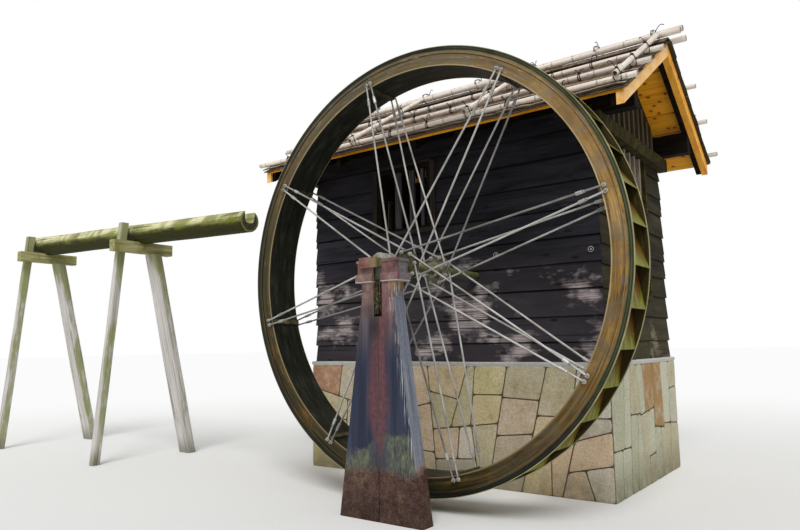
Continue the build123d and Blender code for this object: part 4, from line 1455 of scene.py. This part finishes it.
bamboo_radius = 0.024
pole_sides = 16
ridge_pole_radius = 0.03
rail_pitch = 0.485
rail_count = 3
rail_inset = 0.05
rail_overhang = 0.11
ridge_overhang = 0.15
down_pole_places = (-1.08, 0.24, 1.565)
down_pole_start = 0.12
down_pole_overhang = 0.075
seat = 0.0003
# A node's points along the pole, with how much each swells and how dark it is
node_shape = (
    (-0.02, 1.0, 0.0), (-0.006, 1.06, 0.2), (-0.001, 0.985, 1.0), (0.003, 1.07, 0.6), (0.012, 1.0, 0.1),
)


def bamboo(batch, rings, start, end, radius):
    """A bamboo pole with swollen nodes, a slight bend and open hollow ends."""
    length = (end - start).length
    wall = 0.72 * radius
    spots = []
    along = random.uniform(0.06, 0.2)
    while along < length - 0.05:
        spots.append(along)
        along += random.uniform(0.22, 0.34)
    profile = [(0.12, wall), (0.0, wall), (0.0, radius * 0.985)]
    ring = [1.0, 1.0, 0.3]
    for spot in spots:
        for offset, swell, shade in node_shape:
            profile.append((spot + offset, radius * (swell - 0.02)))
            ring.append(shade)
    profile += [(length, radius * 0.985), (length, wall), (length - 0.12, wall)]
    ring += [0.3, 1.0, 1.0]
    turned(batch, start, end, profile, pole_sides, bend=0.004)
    for shade in ring:
        rings.extend([shade] * pole_sides)


def build_bamboo(batch, rings, name, node):
    """Makes the piece and writes how dark each point is near a node."""
    piece = batch.build(name, bamboo_skin, "root", "bamboo", (node,))
    shades = piece.data.attributes.new("ring", "FLOAT", "POINT")
    shades.data.foreach_set("value", rings)


rail_level = bark_thickness + bamboo_radius + seat
pole_level = rail_level + 2 * bamboo_radius + seat
lowest_rail = slope_length - rail_inset
rail_places = [lowest_rail - index * rail_pitch for index in range(rail_count)]

rails = Batch()
rail_rings = []
poles = Batch()
pole_rings = []
for side in (-1, 1):
    place = slope_place(side)
    for down in rail_places:
        start = place(roof_left - rail_overhang, down, rail_level)
        end = place(roof_right + rail_overhang, down, rail_level)
        bamboo(rails, rail_rings, start, end, bamboo_radius)
    for x in down_pole_places:
        start = place(x, down_pole_start, pole_level)
        end = place(x, lowest_rail + down_pole_overhang, pole_level)
        bamboo(poles, pole_rings, start, end, bamboo_radius)
build_bamboo(rails, rail_rings, "bamboo_rail_culms", "bamboo_rails")
build_bamboo(poles, pole_rings, "bamboo_down_culms", "down_poles")

ridge_culms = Batch()
ridge_rings = []
ridge_pole_low, ridge_pole_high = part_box("ridge_poles")
crown = ridge_pole_high.z - ridge_pole_radius
spread = (ridge_pole_high.y - ridge_pole_low.y) / 2 - ridge_pole_radius
side_level = ridge_pole_low.z + ridge_pole_radius
for y, z in ((ridge_y, crown), (ridge_y - spread, side_level), (ridge_y + spread, side_level)):
    start = Vector((roof_left - ridge_overhang, y, z))
    end = Vector((roof_right + ridge_overhang, y, z))
    bamboo(ridge_culms, ridge_rings, start, end, ridge_pole_radius)
build_bamboo(ridge_culms, ridge_rings, "ridge_culms", "ridge_poles")

ties = Batch()
rope_radius = 0.0036
rope_gap = 0.0045
rail_tie_places = (-2.0, -1.55, -0.7, -0.2, 0.62, 1.05)
ridge_tie_places = (-1.85, -1.1, -0.4, 0.26, 0.95, 1.5)


def loose_ends(place, x, down, level):
    """One or two ends of rope that stand up from a knot and bend over, each its own way."""
    for turn in random.choice(((-1,), (1,), (-1, 1))):
        rise = random.uniform(0.025, 0.065)
        reach = random.uniform(0.3, 1.4) * rise * turn
        back = random.uniform(-0.9, 0.3) * rise
        strand = []
        for share in (0.0, 0.2, 0.4, 0.6, 0.8, 1.0):
            height = level + rise * sin(2.2 * share) / 0.95
            strand.append(place(x + reach * share, down + back * share ** 1.5, height))
        wire(ties, strand, rope_radius)


def rope_tie(place, x, down, level, half_height, slant):
    """Two turns of dark rope round a crossing, side by side, with a knot and loose ends on top."""
    reach = half_height + rope_radius
    round_pole = (bamboo_radius + rope_radius) * 1.03
    for turn in (-1, 1):
        loop = []
        for angle in full_turn(16):
            along = x + turn * (rope_gap + slant * bamboo_radius * cos(angle))
            loop.append(place(along, down + round_pole * cos(angle), level + reach * sin(angle)))
        wire(ties, loop, rope_radius)
    top = level + reach
    knot = [place(x - 0.012, down, top), place(x, down - 0.008, top + 0.006), place(x + 0.012, down, top)]
    wire(ties, knot, 1.6 * rope_radius)
    loose_ends(place, x, down, top)


for side in (-1, 1):
    place = slope_place(side)
    for down in rail_places:
        for x in down_pole_places:
            rope_tie(place, x, down, (rail_level + pole_level) / 2, 2 * bamboo_radius, 1.1)
        for x in rail_tie_places:
            rope_tie(place, x + random.uniform(-0.08, 0.08), down, rail_level, bamboo_radius, 0.2)
ridge_frame = Place((0, ridge_y, crown), (1, 0, 0), (0, 1, 0), (0, 0, 1))
ridge_reach = spread + ridge_pole_radius + 0.004
for x in ridge_tie_places:
    for turn in (-0.006, 0.006):
        loop = []
        for angle in full_turn(20):
            along = x + turn + 0.5 * turn * sin(angle)
            rise = (ridge_pole_radius + 0.034) * sin(angle) - 0.03
            loop.append(ridge_frame(along, ridge_reach * cos(angle), rise))
        wire(ties, loop, rope_radius)
    loose_ends(ridge_frame, x, 0, ridge_pole_radius + 0.004)
ties.build("bamboo_rope_ties", tie_rope, "root", "bamboo")


# Wheel: round tension rods with eyes, sleeves and nuts in place of the plain rods

arm_count = 8
arm_angle = radians(13.8)
rod_radius = 0.008
rod_flat = 0.02
sleeve_radius = 0.0135
eye_radius = 0.017
eye_thickness = 0.009
lacing = radians(83)
rod_hub_radius = 0.112
rod_anchor_radius = wheel_radius - 0.158 + 0.033
anchor_angle = 0.022 / rod_anchor_radius
hub_flange_half = 0.008
stand_off = 0.0195


def wheel_point(radius, angle, y):
    """A place on the wheel, with the angle from the right-hand side upwards."""
    return Vector((radius * cos(angle), y, axle_height + radius * sin(angle)))


def eye(batch, centre, direction):
    """A flattened eye at a rod's end: a disc with rounded edges."""
    half = eye_thickness / 2
    edge = eye_radius * 0.8
    profile = [(-half, edge), (-half * 0.6, eye_radius), (half * 0.6, eye_radius), (half, edge)]
    turned(batch, centre, centre + direction, profile, 20, 0.5, smooth=False)


def tension_rod(batch, inner, outer):
    """A rod with flattened ends, a thinner threaded part, a long hexagon sleeve and a lock nut."""
    length = (outer - inner).length
    thread = rod_radius * 0.94
    profile = [
        (0.0, 0.005), (rod_flat, 0.0075), (rod_flat + 0.01, rod_radius),
        (length - 0.24, rod_radius), (length - 0.235, thread),
        (length - rod_flat - 0.01, thread), (length - rod_flat, 0.0075), (length, 0.005),
    ]
    turned(batch, inner, outer, profile, 12)
    start = length - 0.2
    sleeve = [
        (start, sleeve_radius - 0.002), (start + 0.002, sleeve_radius),
        (start + 0.05, sleeve_radius), (start + 0.052, sleeve_radius - 0.002),
    ]
    turned(batch, inner, outer, sleeve, 6, smooth=False)
    lock = [(start + 0.056, 0.012), (start + 0.067, 0.012)]
    turned(batch, inner, outer, lock, 6, smooth=False)


def wheel_rods(name, node, hub_y, face_y, facing):
    """The sixteen rods of one side, each with an eye on a stud at the hub and at the rim."""
    rods = Batch()
    out = Vector((0, facing, 0))
    stud = stand_off - hub_flange_half
    for arm in range(arm_count):
        middle = arm_angle + arm * 2 * pi / arm_count
        for side in (1, -1):
            inner = wheel_point(rod_hub_radius, middle + side * lacing, hub_y + facing * side * stand_off)
            outer = wheel_point(rod_anchor_radius, middle + side * anchor_angle, face_y + facing * 0.01)
            tension_rod(rods, inner, outer)
            eye(rods, inner, out)
            eye(rods, outer, out)
            away = out * side
            bolt(rods, inner + away * eye_thickness / 2, away, 0.017, 0.35)
            turned(rods, inner - away * stud, inner, [(0, 0.013), (stud, 0.013)], 12)
            bolt(rods, outer + out * eye_thickness / 2, out, 0.017, 0.35)
            turned(rods, outer - out * 0.01, outer, [(0, 0.014), (0.0055, 0.014)], 12)
    rods.build(name, rod_zinc, "wheel", "rod_steel", (node,))


front_hub_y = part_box("front_hub")[0].y + hub_flange_half
rear_hub_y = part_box("rear_hub")[1].y - hub_flange_half
front_face_y = wheel_middle - (rear_hub_y - front_hub_y) / 2 + 0.064
rear_face_y = 2 * wheel_middle - front_face_y
wheel_rods("front_tension_rods", "front_spokes", front_hub_y, front_face_y, -1)
wheel_rods("rear_tension_rods", "rear_spokes", rear_hub_y, rear_face_y, 1)


# Flume: an uneven log with a hollowed channel and sawn ends, and the legs of its trestles

flume_tip_radius = 0.116
flume_butt_radius = 0.136
flume_rise = radians(2.2)
channel_half = 0.065
channel_drop = 0.02
flume_length = (flume_high.x - flume_low.x - flume_butt_radius * sin(flume_rise)) / cos(flume_rise)
flume_mouth_height = 2.56


def flume_log():
    """The log's skin follows an uneven round outline with the channel let into its top."""
    along = Vector((-cos(flume_rise), 0, sin(flume_rise)))
    up = Vector((sin(flume_rise), 0, cos(flume_rise)))
    origin = Vector((flume_high.x - 0.004, wheel_middle, flume_mouth_height))
    steps = 90
    outer_steps = 40
    points = []
    grain = []
    for step in range(steps + 1):
        share = step / steps
        distance = share * (flume_length - 0.008)
        radius = flume_tip_radius + share * (flume_butt_radius - flume_tip_radius)
        centre = origin + along * distance
        edge = asin(min(0.9, channel_half / radius))
        ring = []
        for index in range(outer_steps + 1):
            angle = pi / 2 + edge + (2 * pi - 2 * edge) * index / outer_steps
            seed = Vector((distance * 1.1, cos(angle) * 1.4, sin(angle) * 1.4))
            ridge = Vector((distance * 0.7, cos(angle) * 9, sin(angle) * 9))
            swell = 1 + 0.04 * noise.noise(seed) + 0.02 * noise.noise(ridge)
            ring.append((radius * swell * cos(angle), radius * swell * sin(angle)))
        wobble = 0.004 * noise.noise(Vector((distance * 2.1, 3.0, 1.0)))
        wall = channel_half - 0.004 + wobble
        half = [(wall, 0.05), (wall - 0.012, 0.012), (wall - 0.032, 0.0)]
        ring += [(across, rise - channel_drop) for across, rise in half]
        ring.append((0.0, -channel_drop - 0.004))
        ring += [(-across, rise - channel_drop) for across, rise in reversed(half)]
        for across, rise in ring:
            points.append(centre + Vector((0, across, 0)) + up * rise)
            grain.append((distance, across, rise))
    rings = (steps + 1, len(points) // (steps + 1))
    log = Batch()
    log.add(points, ring_faces(*rings), grain, 0.5, True, flat=end_faces(*rings))
    piece = log.build("mossy_flume_log", log_moss, "root", "flume_wood", ("flume_log",))
    piece.data.materials.append(end_grain)
    for face in piece.data.polygons:
        if len(face.vertices) > 4:
            face.material_index = 1


flume_log()


def post(batch, low, high, width, thickness):
    """A hewn post between the middles of its two ends, with uneven arrises and worn corners."""
    length = (high - low).length
    corners = bar_section(width, thickness, 0.012)
    section = [(across - width / 2, out - thickness / 2) for across, out in corners]
    place = Place(low, (high - low).normalized(), (0, 1, 0), (1, 0, 0))
    plank(batch, place, length, section, steps=max(3, int(length / 0.12)), wave=0.006)


def solids_of(piece):
    """Groups the points of a CAD node by the solid that they belong to."""
    shape = bmesh.new()
    shape.from_mesh(piece.data)
    bmesh.ops.remove_doubles(shape, verts=shape.verts, dist=0.00001)
    seen = set()
    groups = []
    for start in shape.verts:
        if start.index in seen:
            continue
        group = []
        waiting = [start]
        seen.add(start.index)
        while waiting:
            vert = waiting.pop()
            group.append(vert.co.copy())
            for edge in vert.link_edges:
                other = edge.other_vert(vert)
                if other.index not in seen:
                    seen.add(other.index)
                    waiting.append(other)
        groups.append(group)
    shape.free()
    return groups


def trestle_legs():
    """Legs, each a little smaller than its CAD solid and shaped like weathered wood."""
    legs = Batch()
    for points in solids_of(nodes["trestle_legs"]):
        top = max(point.z for point in points)
        foot = [point for point in points if point.z < 0.001]
        head = [point for point in points if point.z > top - 0.001]
        thick = max(point.x for point in points) - min(point.x for point in points)
        wide = max(point.y for point in foot) - min(point.y for point in foot)
        foot_middle = sum(foot, Vector()) / len(foot)
        head_middle = sum(head, Vector()) / len(head)
        post(legs, foot_middle, head_middle, wide - 0.006, thick - 0.006)
    legs.build("hewn_trestle_legs", trestle_grey, "root", "trestle_wood", ("trestle_legs",))


trestle_legs()


# Floor, light and camera

floor_mesh = bpy.data.meshes.new("pale_floor")
reach = 120.0
floor_corners = [(-reach, -reach, 0), (reach, -reach, 0), (reach, reach, 0), (-reach, reach, 0)]
floor_mesh.from_pydata(floor_corners, [], [(0, 1, 2, 3)])
floor = bpy.data.objects.new("pale_floor", floor_mesh)
bpy.context.scene.collection.objects.link(floor)
floor_tree = Tree("floor_paint", roughness=0.95, specular=0.0)
floor_grit = floor_tree.place().noise(30.0, 3.0, 0.6)
near_floor = floor_grit.ramp((0.3, (234, 234, 232)), (0.7, (238, 238, 236)))
floor_x, floor_y = floor_tree.place().split()[:2]
distance = floor_tree.maths("SQRT", floor_x * floor_x + floor_y * floor_y)
far_share = distance.span(4.0, 14.0)
floor_mesh.materials.append(floor_tree.done(near_floor.mix((253.3, 253.3, 253.3), far_share)))

sun = bpy.data.lights.new("soft_sun", "SUN")
sun.energy = 1.95
sun.angle = radians(28)
sun_lamp = bpy.data.objects.new("soft_sun", sun)
sun_lamp.rotation_euler = Vector((0.42, -0.7, 0.9)).to_track_quat("Z", "Y").to_euler()
bpy.context.scene.collection.objects.link(sun_lamp)

world = bpy.data.worlds.new("studio")
bpy.context.scene.world = world
world.use_nodes = True
world_nodes = world.node_tree.nodes
world_links = world.node_tree.links
background = world_nodes["Background"]
path = world_nodes.new("ShaderNodeLightPath")
level = world_nodes.new("ShaderNodeMapRange")
level.inputs["To Min"].default_value = 0.52
level.inputs["To Max"].default_value = 1.0
seen = path.outputs["Is Camera Ray"]
for ray in ("Is Glossy Ray", "Is Transmission Ray"):
    either = world_nodes.new("ShaderNodeMath")
    either.operation = "MAXIMUM"
    world_links.new(seen, either.inputs[0])
    world_links.new(path.outputs[ray], either.inputs[1])
    seen = either.outputs[0]
world_links.new(seen, level.inputs["Value"])
world_links.new(level.outputs["Result"], background.inputs["Strength"])
background.inputs["Color"].default_value = (1.0, 1.0, 1.0, 1.0)

camera_place = Vector((3.117, -3.9957, 1.2744))
yaw = radians(36.425)
tilt = radians(6.823)
roll = radians(-0.849)
forward = Vector((-sin(yaw) * cos(tilt), cos(yaw) * cos(tilt), sin(tilt)))
right = Vector((cos(yaw), sin(yaw), 0))
upward = right.cross(forward)
right_rolled = right * cos(roll) + upward * sin(roll)
up_rolled = -right * sin(roll) + upward * cos(roll)
camera_data = bpy.data.cameras.new("camera")
camera_data.lens = 30.03
camera_data.sensor_width = 36.0
camera = bpy.data.objects.new("camera", camera_data)
turn = Matrix((right_rolled, up_rolled, -forward)).transposed().to_4x4()
camera.matrix_world = Matrix.Translation(camera_place) @ turn
bpy.context.scene.collection.objects.link(camera)
bpy.context.scene.camera = camera
bpy.context.scene.view_settings.view_transform = "Standard"

bpy.context.view_layer.update()
